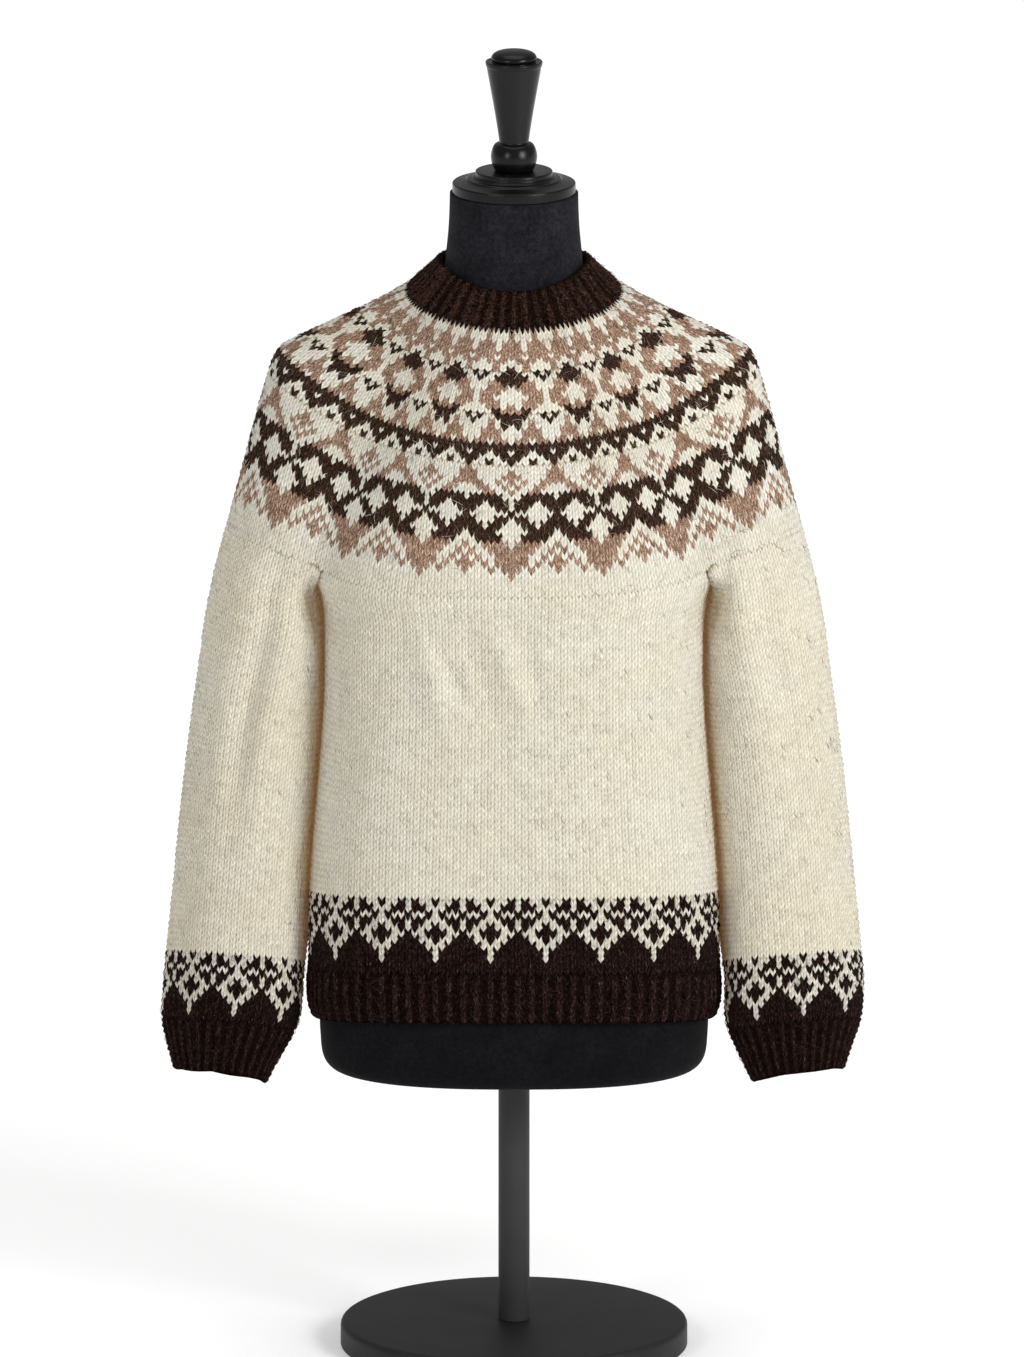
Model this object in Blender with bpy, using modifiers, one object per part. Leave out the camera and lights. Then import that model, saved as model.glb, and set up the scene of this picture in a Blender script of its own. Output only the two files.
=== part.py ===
"""Nordic yoke sweater on a limbless dress form.

Metres, +Z up. The origin is the middle of the foot plate's underside, the garment's front faces -Y.
The sweater is knitted in the round, so its pieces are tubes: body, hem band, two sleeves, two cuffs,
a round yoke that joins them, and a neckband. Each is an open loft of rings that Solidify gives its
wall. A ring starts at the front centre line and runs round over +X to the back and over -X home.
"""

import math

import bpy
import numpy as np

# ---------------------------------------------------------------- cloth
WALL = 0.003                # knitted wall
BAND_WALL = 0.004           # doubled neckband
SEAM = 0.0005               # gap between two pieces, measured on their outer faces
SEAM_FOLLOW = 0.006         # how far the body and sleeves keep the yoke's slope below its seam
SLEEVE_CLEARANCE = 0.0018   # between the body's side and the top of the sleeve beside it
REST_GAP = 0.0008           # between the yoke's inside and the shoulders that carry it

# Stitches round the garment, shared out over the panels that meet at the underarms.
FRONT_STITCHES = 64         # front and back alike
SLEEVE_STITCHES = 48        # the sleeve's part of the yoke
BODY_UNDERARM = 20          # body stitches between the front and the back
YOKE_STITCHES = 2 * (FRONT_STITCHES + SLEEVE_STITCHES)
BODY_STITCHES = 2 * (FRONT_STITCHES + BODY_UNDERARM)
STEP = 4                    # stitches per column of the yoke, front and back
UNDERARM_COLUMNS = 4        # columns of the body and of the sleeve between the two corners
YOKE_COLUMNS = YOKE_STITCHES // STEP
CORNER_COLUMN = FRONT_STITCHES // 2 // STEP
SLEEVE_COLUMNS = SLEEVE_STITCHES // STEP

# Underarm ring, where yoke, body and sleeves meet.
UNDERARM_HALF_WIDTH = 0.176
UNDERARM_FRONT = 0.125
UNDERARM_BACK = 0.118
BODY_POWER = 2.8            # exponent of the body's section, 2 being an ellipse
CORNER_DEPTH = 0.062        # front and back corners, from the middle plane
CORNER_Z = 0.714
FRONT_Z = 0.7063
BACK_Z = 0.712
UNDERARM_DIP = 0.004        # how far the seam under the arm sinks between its corners
ARM_CENTRE_X = 0.185
ARM_HALF_WIDTH = 0.069
ARM_HALF_DEPTH = 0.066
ARM_HALF_TURN = math.radians(105)
ARM_OUTER_Z = 0.741
CORNER_SOFTNESS = 5         # stitches over which the corner between chest and sleeve is rounded

# Neck ring, where the yoke ends and the neckband begins, and the neckband's free edge. Each is an
# egg-shaped ring through its front, side and back points.
NECK_RING = (
    # half width, (front, side, back) y, (front, side, back) z
    0.095, (-0.087, -0.0085, 0.078), (0.936, 0.956, 0.964),
)
COLLAR_RING = (
    0.066, (-0.068, -0.001, 0.0695), (0.968, 0.984, 0.977),
)
COLLAR_LEAD = 0.35          # how far the collar goes on along the yoke's slope, of its height
COLLAR_SHARES = (1.0, 0.72, 0.46, 0.22, 0.036)      # its rings, from the free edge to the seam

# Shoulder ring: each thread of the yoke runs straight from the neck to it, bends, and runs straight
# to the underarm ring. Rows: bearing from the front in degrees, half width over the sine of the
# bearing, y, z, and the softness of the bend. Between the rows the values follow a cosine series.
SHOULDER = (
    # bearing   width    y        z      softness
    (0.00,      0.2020, -0.1053, 0.885, 0.089),
    (51.43,     0.1846, -0.0770, 0.842, 0.081),
    (90.00,     0.2105, 0.0000, 0.904, 0.011),
    (128.57,    0.1846, 0.0750, 0.850, 0.081),
    (180.00,    0.2020, 0.0960, 0.900, 0.089),
)
YOKE_RINGS = 13
YOKE_TRIM = 0.0008          # share of a thread's length that the seam takes at either end
MERIDIAN_SAMPLES = 160

# Body and hem band. Rows: height at the side seamline, half width, lift of the front, lift of the back.
BODY_RINGS = (
    # side z   width    front    back
    (0.692,    0.1715, -0.0060, -0.0020),
    (0.655,    0.1680, -0.0030, -0.0028),
    (0.605,    0.1682, 0.0020, -0.0040),
    (0.545,    0.1720, 0.0070, -0.0055),
    (0.480,    0.1775, 0.0125, -0.0075),
    (0.416,    0.1820, 0.0180, -0.0100),
)
HEM_RINGS = (
    (0.416,    0.1820, 0.0180, -0.0100),
    (0.375,    0.1828, 0.0190, -0.0107),
    (0.330,    0.1825, 0.0205, -0.0115),
    (0.308,    0.1805, 0.0215, -0.0120),
    (0.300,    0.1775, 0.0220, -0.0120),
)
BODY_FRONT = 0.124
BODY_BACK = 0.118

# Sleeve and cuff. Rows: height and distance out of the inner edge, the same of the outer edge, half
# depth, how far the ring has swung forward, and its rise towards the front as a slope.
SLEEVE_RINGS = (
    # inner z  inner x  outer z  outer x  depth    forward  rise
    (0.690,    0.1735,  0.716,   0.2595,  0.0650,  0.0000,  0.04),
    (0.652,    0.1705,  0.673,   0.2680,  0.0635,  0.0010,  0.08),
    (0.602,    0.1710,  0.619,   0.2770,  0.0610,  0.0030,  0.12),
    (0.542,    0.1745,  0.556,   0.2858,  0.0590,  0.0055,  0.16),
    (0.478,    0.1800,  0.492,   0.2934,  0.0575,  0.0085,  0.20),
    (0.414,    0.1845,  0.427,   0.2996,  0.0570,  0.0115,  0.23),
    (0.352,    0.1865,  0.3615,  0.3062,  0.0570,  0.0150,  0.25),
)
CUFF_RINGS = (
    (0.352,    0.1865,  0.3615,  0.3062,  0.0570,  0.0150,  0.25),
    (0.328,    0.1865,  0.3390,  0.3080,  0.0570,  0.0155,  0.25),
    (0.304,    0.1875,  0.3160,  0.3088,  0.0555,  0.0160,  0.25),
    (0.2855,   0.1930,  0.2975,  0.3070,  0.0510,  0.0160,  0.25),
    (0.2665,   0.2025,  0.2785,  0.3015,  0.0455,  0.0155,  0.25),
    (0.2430,   0.2140,  0.2553,  0.2948,  0.0415,  0.0150,  0.25),
)
SLEEVE_MIDDLE = 0.42        # where the widest depth lies, as a share of the width from the inner edge
INNER_FLATNESS = 3.2        # exponent of the sleeve's side that lies along the body

# ---------------------------------------------------------------- dress form and stand
FORM_NECK = (
    # half width, (front, side, back) y, (front, side, back) z
    (0.0563, (-0.0563, 0.0000, 0.0563), (1.0417, 1.0417, 1.0417)),
    (0.0575, (-0.0575, 0.0000, 0.0575), (1.0100, 1.0100, 1.0100)),
    (0.0598, (-0.0598, 0.0000, 0.0598), (0.9720, 0.9850, 0.9900)),
    (0.0612, (-0.0612, 0.0000, 0.0612), (0.9620, 0.9750, 0.9810)),
    (0.0660, (-0.0655, -0.0010, 0.0640), (0.9520, 0.9660, 0.9735)),
    (0.0750, (-0.0710, -0.0030, 0.0680), (0.9415, 0.9590, 0.9660)),
    (0.0865, (-0.0790, -0.0060, 0.0730), (0.9345, 0.9540, 0.9600)),
)
FORM_SHOULDER = (
    # share of the yoke's length, half width at which the armhole cuts the shoulder off
    (0.02, 0.300),
    (0.09, 0.300),
    (0.17, 0.300),
    (0.25, 0.300),
    (0.32, 0.260),
    (0.38, 0.225),
    (0.45, 0.200),
    (0.53, 0.184),
    (0.62, 0.172),
)
ARMHOLE_SHARPNESS = 12
FORM_BODY = (
    # z        half width  front    back
    (0.7450,   0.1620,     0.1120,  0.1050),
    (0.6900,   0.1580,     0.1160,  0.1060),
    (0.6100,   0.1540,     0.1120,  0.1040),
    (0.5200,   0.1560,     0.1100,  0.1040),
    (0.4300,   0.1660,     0.1150,  0.1080),
    (0.3400,   0.1703,     0.1175,  0.1110),
    (0.2750,   0.1703,     0.1175,  0.1110),
    (0.2640,   0.1675,     0.1147,  0.1082),
    (0.2590,   0.1630,     0.1102,  0.1037),
    (0.2570,   0.1570,     0.1042,  0.0977),
)
FORM_POWER = 2.5
POLE_RADIUS = 0.0138
BASE_RADIUS = 0.1534
BASE_THICKNESS = 0.022
BASE_ROUND = 0.004
STACK_GAP = 0.0003          # between two hard pieces that stand on each other
TURN_STEPS = 40
CAP_PROFILE = (
    # radius   height above the neck's top
    (0.0320,   0.0197),
    (0.0339,   0.0185),
    (0.0339,   0.0155),
    (0.0352,   0.0140),
    (0.0400,   0.0135),
    (0.0412,   0.0118),
    (0.0470,   0.0108),
    (0.0525,   0.0098),
    (0.0541,   0.0082),
    (0.0541,   0.0015),
    (0.0530,   0.0000),
)
FINIAL_PROFILE = (
    # radius   height above the cap's top
    (0.0090,   0.1102),
    (0.0150,   0.1070),
    (0.0185,   0.1010),
    (0.0188,   0.0975),
    (0.0236,   0.0995),
    (0.0251,   0.0975),
    (0.0246,   0.0935),
    (0.0205,   0.0720),
    (0.0162,   0.0480),
    (0.0130,   0.0290),
    (0.0128,   0.0262),
    (0.0172,   0.0215),
    (0.0198,   0.0160),
    (0.0202,   0.0118),
    (0.0192,   0.0060),
    (0.0162,   0.0000),
)


# ---------------------------------------------------------------- materials and collections
def material(name, colour, roughness, metallic=0.0):
    """A Principled material of one colour."""
    made = bpy.data.materials.new(name)
    made.use_nodes = True
    shader = made.node_tree.nodes["Principled BSDF"]
    shader.inputs["Base Color"].default_value = (*colour, 1.0)
    shader.inputs["Roughness"].default_value = roughness
    shader.inputs["Metallic"].default_value = metallic
    return made


def cream_wool(name):
    return material(name + "_cream_wool", (0.77, 0.71, 0.57), 0.95)


def brown_wool(name):
    return material(name + "_brown_wool", (0.035, 0.019, 0.013), 0.95)


def patterned_wool(name):
    return material(name + "_patterned_wool", (0.40, 0.31, 0.25), 0.95)


def black_cloth(name):
    return material(name + "_black_cloth", (0.017, 0.017, 0.020), 0.9)


def black_lacquer(name):
    return material(name + "_black_lacquer", (0.010, 0.010, 0.011), 0.35)


def black_powder_coat(name):
    return material(name + "_black_powder_coat", (0.022, 0.022, 0.024), 0.6)


def new_collection(name):
    made = bpy.data.collections.new(name)
    bpy.context.scene.collection.children.link(made)
    return made


def add_object(name, mesh, paint, collection):
    mesh.materials.append(paint(name))
    made = bpy.data.objects.new(name, mesh)
    collection.objects.link(made)
    return made


# ---------------------------------------------------------------- curves
def evenly(points, count):
    """Count + 1 points at equal distances along a polyline."""
    steps = np.linalg.norm(np.diff(points, axis=0), axis=1)
    along = np.concatenate([[0.0], np.cumsum(steps)])
    wanted = np.linspace(0.0, along[-1], count + 1)
    return np.stack([np.interp(wanted, along, points[:, axis]) for axis in range(3)], axis=1)


def cosine_series(bearings, values, at):
    """The smooth even curve through the values at the bearings, a sum of as many cosines."""
    orders = np.arange(len(bearings))
    weights = np.linalg.solve(np.cos(np.outer(bearings, orders)), values)
    return np.cos(np.outer(at, orders)) @ weights


def oval(half_width, front, back, power, count, turn=1.0):
    """Dense superellipse points over the given share of a turn, centred on the front, at z = 0."""
    angle = np.linspace(-math.pi, math.pi, count) * turn
    across = np.sign(np.sin(angle)) * np.abs(np.sin(angle)) ** (2 / power)
    along = np.sign(np.cos(angle)) * np.abs(np.cos(angle)) ** (2 / power)
    depth = np.where(along > 0, front, back)
    return np.stack([half_width * across, -depth * along, np.zeros(count)], axis=1)


def ring_bearings(count):
    return 2 * math.pi * np.arange(count) / count


def through_three(front, side, back, cosine):
    """A value that is front, side and back at cosines 1, 0 and -1, with the cosine's square between."""
    return side + (front - back) / 2 * cosine + ((front + back) / 2 - side) * cosine ** 2


def egg_ring(half_width, depths, heights, count):
    """A ring given by its half width and by y and z at the front, side and back."""
    bearing = ring_bearings(count)
    cosine = np.cos(bearing)
    y = through_three(*depths, cosine)
    return np.stack([half_width * np.sin(bearing), y, through_three(*heights, cosine)], axis=1)


# ---------------------------------------------------------------- the ring under the arms
def chest_arc(depth, middle_z, facing):
    """Evenly spaced arc from the -X corner to the +X corner; facing is 1 in front, -1 behind."""
    corner_angle = math.acos((CORNER_DEPTH / depth) ** (BODY_POWER / 2))
    arc = oval(UNDERARM_HALF_WIDTH, depth, depth, BODY_POWER, 401, corner_angle / math.pi)
    share = (arc[:, 0] / arc[-1, 0]) ** 2
    arc[:, 1] *= facing
    arc[:, 2] = middle_z + (CORNER_Z - middle_z) * share
    return evenly(arc, FRONT_STITCHES)


def arm_arc():
    """Evenly spaced arc over the +X arm, from the front corner to the back corner."""
    angle = np.linspace(-ARM_HALF_TURN, ARM_HALF_TURN, 401)
    x = ARM_CENTRE_X + ARM_HALF_WIDTH * np.cos(angle)
    y = ARM_HALF_DEPTH * np.sin(angle)
    outer_x = ARM_CENTRE_X + ARM_HALF_WIDTH
    inward = (outer_x - x) / (outer_x - x[0])
    z = CORNER_Z + (ARM_OUTER_Z - CORNER_Z) * (1 - inward ** 2)
    return evenly(np.stack([x, y, z], axis=1), SLEEVE_STITCHES)


def softened(ring, reach):
    """A closed ring whose corners are rounded by a raised-cosine average over the reach."""
    offsets = np.arange(-reach, reach + 1)
    weights = 1 + np.cos(math.pi * offsets / (reach + 1))
    moved = [weight * np.roll(ring, -offset, axis=0) for offset, weight in zip(offsets, weights)]
    return np.sum(moved, axis=0) / weights.sum()


def underarm_ring():
    """One point per yoke stitch, from the front centre."""
    front = chest_arc(UNDERARM_FRONT, FRONT_Z, 1)
    back = chest_arc(UNDERARM_BACK, BACK_Z, -1)[::-1]
    arm = arm_arc()
    other_arm = arm[::-1] * (-1, 1, 1)
    half = FRONT_STITCHES // 2
    pieces = (front[half:-1], arm[:-1], back[:-1], other_arm[:-1], front[:half])
    return softened(np.concatenate(pieces), CORNER_SOFTNESS)


# ---------------------------------------------------------------- the yoke's surface
def yoke_threads():
    """Dense points along each of the yoke's threads, neck to underarm: samples x columns x 3."""
    bearing = ring_bearings(YOKE_COLUMNS)
    table = np.array(SHOULDER)
    stations = np.radians(table[:, 0])
    width, y, z, softness = (cosine_series(stations, table[:, column], bearing) for column in range(1, 5))
    shoulder = np.stack([np.sin(bearing) * width, y, z], axis=1)
    neck = egg_ring(*NECK_RING, YOKE_COLUMNS)
    foot = underarm_ring()[::STEP]
    upper = np.linalg.norm(shoulder - neck, axis=1)
    lower = np.linalg.norm(foot - shoulder, axis=1)
    travel = np.linspace(0, 1, MERIDIAN_SAMPLES)[:, None] * (upper + lower)

    def bend(distance):
        return 0.5 * (distance + np.sqrt(distance ** 2 + softness ** 2))

    down = (bend(travel - upper) - bend(-upper)) / (bend(lower) - bend(-upper)) * lower
    out = travel - down
    out *= upper / out[-1]
    outward = (shoulder - neck) / upper[:, None]
    downward = (foot - shoulder) / lower[:, None]
    return neck + outward * out[..., None] + downward * down[..., None]


def yoke_ring(threads, share):
    """The ring at a share of each thread's length."""
    steps = np.linalg.norm(np.diff(threads, axis=0), axis=2)
    along = np.concatenate([np.zeros((1, steps.shape[1])), np.cumsum(steps, axis=0)])
    ring = np.empty((threads.shape[1], 3))
    for column in range(threads.shape[1]):
        wanted = share * along[-1, column]
        ring[column] = [np.interp(wanted, along[:, column], threads[:, column, axis]) for axis in range(3)]
    return ring


def inward_normals(below, ring, above):
    """Unit normals of a ring, pointing into the garment, from its neighbours on all four sides."""
    round_way = np.roll(ring, -1, axis=0) - np.roll(ring, 1, axis=0)
    normal = np.cross(above - below, round_way)
    return normal / np.linalg.norm(normal, axis=1)[:, None]


# ---------------------------------------------------------------- the body's rings
def body_ring(side_z, half_width, front_lift, back_lift):
    """One body ring: an evenly spaced superellipse, tilted so that front and back hang as stated."""
    dense = evenly(oval(half_width, BODY_FRONT, BODY_BACK, BODY_POWER, 1601), BODY_STITCHES)[:-1]
    ring = np.roll(dense, -BODY_STITCHES // 2, axis=0)
    lean = -ring[:, 1] / np.where(ring[:, 1] < 0, BODY_FRONT, BODY_BACK)
    ring[:, 2] = side_z + through_three(front_lift, 0.0, back_lift, lean)
    return ring[body_columns()]


def body_columns():
    """Stitch numbers of the body's columns, finer on the front and back than under the arms."""
    half = FRONT_STITCHES // 2
    under = BODY_UNDERARM // UNDERARM_COLUMNS
    back_start = half + BODY_UNDERARM
    second = back_start + FRONT_STITCHES
    return np.concatenate([
        np.arange(0, half, STEP),
        np.arange(half, back_start, under),
        np.arange(back_start, second, STEP),
        np.arange(second, second + BODY_UNDERARM, under),
        np.arange(second + BODY_UNDERARM, BODY_STITCHES, STEP),
    ])


def underarm_run(start, end):
    """Points between two corners along the body's side, without the corners themselves."""
    share = np.linspace(0, 1, UNDERARM_COLUMNS + 1)[1:-1, None]
    run = start + (end - start) * share
    bulge = 4 * share[:, 0] * (1 - share[:, 0])
    run[:, 0] += math.copysign(UNDERARM_HALF_WIDTH - abs(start[0]), start[0]) * bulge
    run[:, 2] -= UNDERARM_DIP * bulge
    return run


def seam_rings(threads, cut):
    """Two rings below the yoke that carry its slope on past the seam, joined up by the cut."""
    foot = threads[-1]
    slope = foot - threads[-2]
    slope /= np.linalg.norm(slope, axis=1)[:, None]
    return [cut(foot + slope * distance) for distance in (SEAM / 2, SEAM_FOLLOW)]


def body_cut(foot):
    """A ring below the yoke, cut straight across under each arm."""
    front = foot[:CORNER_COLUMN + 1]
    back_start = CORNER_COLUMN + SLEEVE_COLUMNS
    back = foot[back_start:back_start + 2 * CORNER_COLUMN + 1]
    home = foot[back_start + 2 * CORNER_COLUMN + SLEEVE_COLUMNS:]
    right = underarm_run(front[-1], back[0])
    left = underarm_run(back[-1], home[0])
    return np.concatenate([front, right, back, left, home])


# ---------------------------------------------------------------- the sleeves' rings
def sleeve_ring(inner_z, inner_x, outer_z, outer_x, half_depth, forward, rise):
    """One ring of the +X sleeve: round outside, flattened along the body, tilted with the arm."""
    angle = np.linspace(-math.pi, math.pi, 1201)
    middle = inner_x + SLEEVE_MIDDLE * (outer_x - inner_x)
    flat_cosine = -np.abs(np.cos(angle)) ** (2 / INNER_FLATNESS)
    flat_sine = np.sign(np.sin(angle)) * np.abs(np.sin(angle)) ** (2 / INNER_FLATNESS)
    outer_half = np.cos(angle) > 0
    x = np.where(outer_half, (outer_x - middle) * np.cos(angle), (middle - inner_x) * flat_cosine)
    y = half_depth * np.where(outer_half, np.sin(angle), flat_sine)
    slope = (outer_z - inner_z) / (outer_x - inner_x)
    z = inner_z + slope * (x + middle - inner_x) - rise * y
    columns = SLEEVE_COLUMNS + UNDERARM_COLUMNS
    ring = evenly(np.stack([x + middle, y - forward, z], axis=1), columns)[:-1]
    return np.roll(ring, -UNDERARM_COLUMNS // 2, axis=0)


def sleeve_cut(foot):
    """A ring below the yoke over the +X arm, closed along the body's side and just clear of it."""
    outer = foot[CORNER_COLUMN:CORNER_COLUMN + SLEEVE_COLUMNS + 1]
    inner = underarm_run(outer[-1], outer[0])
    inner[:, 0] += SLEEVE_CLEARANCE
    outer = outer.copy()
    outer[[0, -1], 0] += SLEEVE_CLEARANCE
    return np.concatenate([outer, inner])


# ---------------------------------------------------------------- meshes
def tube_mesh(name, rings, closed_ends=False):
    """Faces between rings that run from top to bottom, pointing out of the tube."""
    count = len(rings[0])
    faces = []
    for level in range(len(rings) - 1):
        for column in range(count):
            after = (column + 1) % count
            upper, lower = level * count, (level + 1) * count
            faces.append((upper + column, lower + column, lower + after, upper + after))
    if closed_ends:
        faces.append(tuple(range(count)))
        last = (len(rings) - 1) * count
        faces.append(tuple(last + column for column in reversed(range(count))))
    mesh = bpy.data.meshes.new(name)
    mesh.from_pydata(np.concatenate(rings).tolist(), [], faces)
    mesh.shade_smooth()
    return mesh


def cloth_tube(name, rings, paint, collection, wall=WALL):
    """A knitted tube: the rings are its outer face and the wall lies inside them."""
    made = add_object(name, tube_mesh(name, rings), paint, collection)
    shell = made.modifiers.new("wall", "SOLIDIFY")
    shell.thickness = wall
    shell.offset = -1
    shell.use_even_offset = True
    return made


def turned(name, profile, foot_z, paint, collection):
    """A profile of radius and height, from the top down its outer side, spun round the Z axis."""
    outline = [(0.0, profile[0][1])] + list(profile) + [(0.0, profile[-1][1])]
    mesh = bpy.data.meshes.new(name)
    mesh.from_pydata(
        [(radius, 0.0, foot_z + height) for radius, height in outline],
        [(point, point + 1) for point in range(len(outline) - 1)],
        [],
    )
    made = add_object(name, mesh, paint, collection)
    spin = made.modifiers.new("turn", "SCREW")
    spin.steps = spin.render_steps = TURN_STEPS
    spin.use_merge_vertices = True
    spin.merge_threshold = 0.00001
    spin.use_smooth_shade = True
    return made


def mirrored(rings):
    """The rings of the other side, still running the same way round."""
    return [ring[::-1] * (-1, 1, 1) for ring in rings]


# ---------------------------------------------------------------- pieces
def build_yoke(threads, collection):
    shares = np.linspace(YOKE_TRIM, 1 - YOKE_TRIM, YOKE_RINGS)
    rings = [yoke_ring(threads, share) for share in shares]
    cloth_tube("yoke", rings, patterned_wool, collection)


def build_neckband(threads, collection):
    """The collar, which leaves the yoke along its slope and curves up to the free edge."""
    low = threads[0]
    high = egg_ring(*COLLAR_RING, YOKE_COLUMNS)
    rise = low - threads[2]
    rise /= np.linalg.norm(rise, axis=1)[:, None]
    middle = low + rise * COLLAR_LEAD * np.linalg.norm(high - low, axis=1)[:, None]
    rings = []
    for share in COLLAR_SHARES:
        rest = 1 - share
        rings.append(high * share ** 2 + middle * 2 * share * rest + low * rest ** 2)
    cloth_tube("neckband", rings, brown_wool, collection, BAND_WALL)


def build_body(threads, collection):
    """Body and hem band, one tube parted by a seam."""
    rings = seam_rings(threads, body_cut) + [body_ring(*row) for row in BODY_RINGS]
    rings[-1][:, 2] += SEAM / 2
    cloth_tube("body", rings, cream_wool, collection)
    hem = [body_ring(*row) for row in HEM_RINGS]
    hem[0][:, 2] -= SEAM / 2
    cloth_tube("hem_band", hem, patterned_wool, collection)


def build_sleeves(threads, collection):
    """Both sleeves with their cuffs."""
    sleeve = seam_rings(threads, sleeve_cut) + [sleeve_ring(*row) for row in SLEEVE_RINGS]
    sleeve[-1][:, 2] += SEAM / 2
    cuff = [sleeve_ring(*row) for row in CUFF_RINGS]
    cuff[0][:, 2] -= SEAM / 2
    for side, turn in (("right", list), ("left", mirrored)):
        cloth_tube("sleeve_" + side, turn(sleeve), cream_wool, collection)
        cloth_tube("cuff_" + side, turn(cuff), patterned_wool, collection)


def build_form(threads, collection):
    """Neck, shoulders that fill the yoke's inside, and a plain body down to the rounded foot."""
    bearing = ring_bearings(YOKE_COLUMNS)
    rings = [egg_ring(*row, YOKE_COLUMNS) for row in FORM_NECK]
    for share, armhole in FORM_SHOULDER:
        ring = yoke_ring(threads, share)
        above = yoke_ring(threads, share - 0.02)
        below = yoke_ring(threads, share + 0.02)
        ring += inward_normals(below, ring, above) * (WALL + REST_GAP)
        excess = (np.abs(ring[:, 0]) / armhole) ** ARMHOLE_SHARPNESS
        ring[:, 0] /= (1 + excess) ** (1 / ARMHOLE_SHARPNESS)
        rings.append(ring)
    for z, half_width, front, back in FORM_BODY:
        across = np.sign(np.sin(bearing)) * np.abs(np.sin(bearing)) ** (2 / FORM_POWER)
        along = np.sign(np.cos(bearing)) * np.abs(np.cos(bearing)) ** (2 / FORM_POWER)
        depth = np.where(along > 0, front, back)
        rings.append(np.stack([half_width * across, -depth * along, np.full(YOKE_COLUMNS, z)], axis=1))
    add_object("form_torso", tube_mesh("form_torso", rings, closed_ends=True), black_cloth, collection)


def build_stand(collection):
    """Cap, finial, pole and foot plate, all turned about the Z axis."""
    neck_top = FORM_NECK[0][2][0]
    cap_foot = neck_top + STACK_GAP
    cap_top = cap_foot + CAP_PROFILE[0][1]
    form_foot = FORM_BODY[-1][0]
    pole_foot = BASE_THICKNESS + STACK_GAP
    pole = ((POLE_RADIUS, form_foot - STACK_GAP - pole_foot), (POLE_RADIUS, 0.0))
    corner = BASE_ROUND * (1 - math.sqrt(0.5))
    edge = BASE_RADIUS - BASE_ROUND
    base = (
        (edge, BASE_THICKNESS),
        (BASE_RADIUS - corner, BASE_THICKNESS - corner),
        (BASE_RADIUS, BASE_THICKNESS - BASE_ROUND),
        (BASE_RADIUS, BASE_ROUND / 4),
        (BASE_RADIUS - BASE_ROUND / 4, 0.0),
    )
    turned("neck_cap", CAP_PROFILE, cap_foot, black_lacquer, collection)
    turned("finial", FINIAL_PROFILE, cap_top + STACK_GAP, black_lacquer, collection)
    turned("pole", pole, pole_foot, black_powder_coat, collection)
    turned("base", base, 0.0, black_powder_coat, collection)


def build():
    for old in list(bpy.data.objects):
        bpy.data.objects.remove(old)
    collection = new_collection("nordic_yoke_sweater")
    threads = yoke_threads()
    build_yoke(threads, collection)
    build_neckband(threads, collection)
    build_body(threads, collection)
    build_sleeves(threads, collection)
    build_form(threads, collection)
    build_stand(collection)


build()
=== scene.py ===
"""Looks for the nordic yoke sweater on its dress form.

Every knitted piece is a real knit: a fine mesh in which each stitch has its own two legs, worked from
charts over the same rings that give the plain solids their form. A ring starts at the front
centre line and runs over +X to the back. Rows are counted downwards, as they hang. Metres, +Z up.
"""

from __future__ import annotations

import logging
import math
from dataclasses import dataclass
from enum import Enum

import bpy
import numpy as np
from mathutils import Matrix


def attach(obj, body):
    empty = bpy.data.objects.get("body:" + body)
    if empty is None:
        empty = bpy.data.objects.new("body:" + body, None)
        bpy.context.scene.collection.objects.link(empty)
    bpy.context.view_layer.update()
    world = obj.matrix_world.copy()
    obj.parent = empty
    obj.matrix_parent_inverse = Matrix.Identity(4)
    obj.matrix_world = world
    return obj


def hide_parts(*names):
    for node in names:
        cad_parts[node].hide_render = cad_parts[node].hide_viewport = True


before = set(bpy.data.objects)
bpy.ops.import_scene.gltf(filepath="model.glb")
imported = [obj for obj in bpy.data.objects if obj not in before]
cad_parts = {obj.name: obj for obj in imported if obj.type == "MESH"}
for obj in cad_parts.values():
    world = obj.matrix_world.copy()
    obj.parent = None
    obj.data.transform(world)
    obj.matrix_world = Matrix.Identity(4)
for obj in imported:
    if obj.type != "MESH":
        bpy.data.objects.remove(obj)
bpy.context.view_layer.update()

Array = np.ndarray
Material = bpy.types.Material
# a colour, or a size at front, side and back
Triple = tuple[float, float, float]
LOG = logging.getLogger("sweater")
MM = 0.001
ROOT = "root"
SEED = 7


# ---- curves and rings
def spline_weights(stations: Array, at: Array) -> Array:
    """Weights of the natural cubic spline through values at the stations.

    Formula: with a and b the shares of the span on either side, value = a*y0 + b*y1 +
    ((a^3 - a)*m0 + (b^3 - b)*m1) * span^2 / 6, where the bends m solve the usual three-term system.

    Args:
        stations: increasing places of the known values, shape (k,).
        at: places wanted, shape (n,).

    Returns:
        Matrix (n, k) that turns the known values into the wanted ones.
    """
    stations = np.asarray(stations, float)
    at = np.asarray(at, float)
    count = len(stations)
    span = np.diff(stations)
    left, right = np.zeros((count, count)), np.zeros((count, count))
    left[0, 0] = left[-1, -1] = 1.0
    inner = np.arange(1, count - 1)
    left[inner, inner - 1] = span[:-1]
    left[inner, inner] = 2 * (span[:-1] + span[1:])
    left[inner, inner + 1] = span[1:]
    right[inner, inner - 1] = 6 / span[:-1]
    right[inner, inner] = -6 / span[:-1] - 6 / span[1:]
    right[inner, inner + 1] = 6 / span[1:]
    bends = np.linalg.solve(left, right)
    low = np.clip(np.searchsorted(stations, at) - 1, 0, count - 2)
    b = (at - stations[low]) / span[low]
    a = 1 - b
    unit = np.eye(count)
    share = a[:, None] * unit[low] + b[:, None] * unit[low + 1]
    curl = (a**3 - a)[:, None] * bends[low] + (b**3 - b)[:, None] * bends[low + 1]
    return share + curl * (span[low] ** 2)[:, None] / 6


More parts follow.
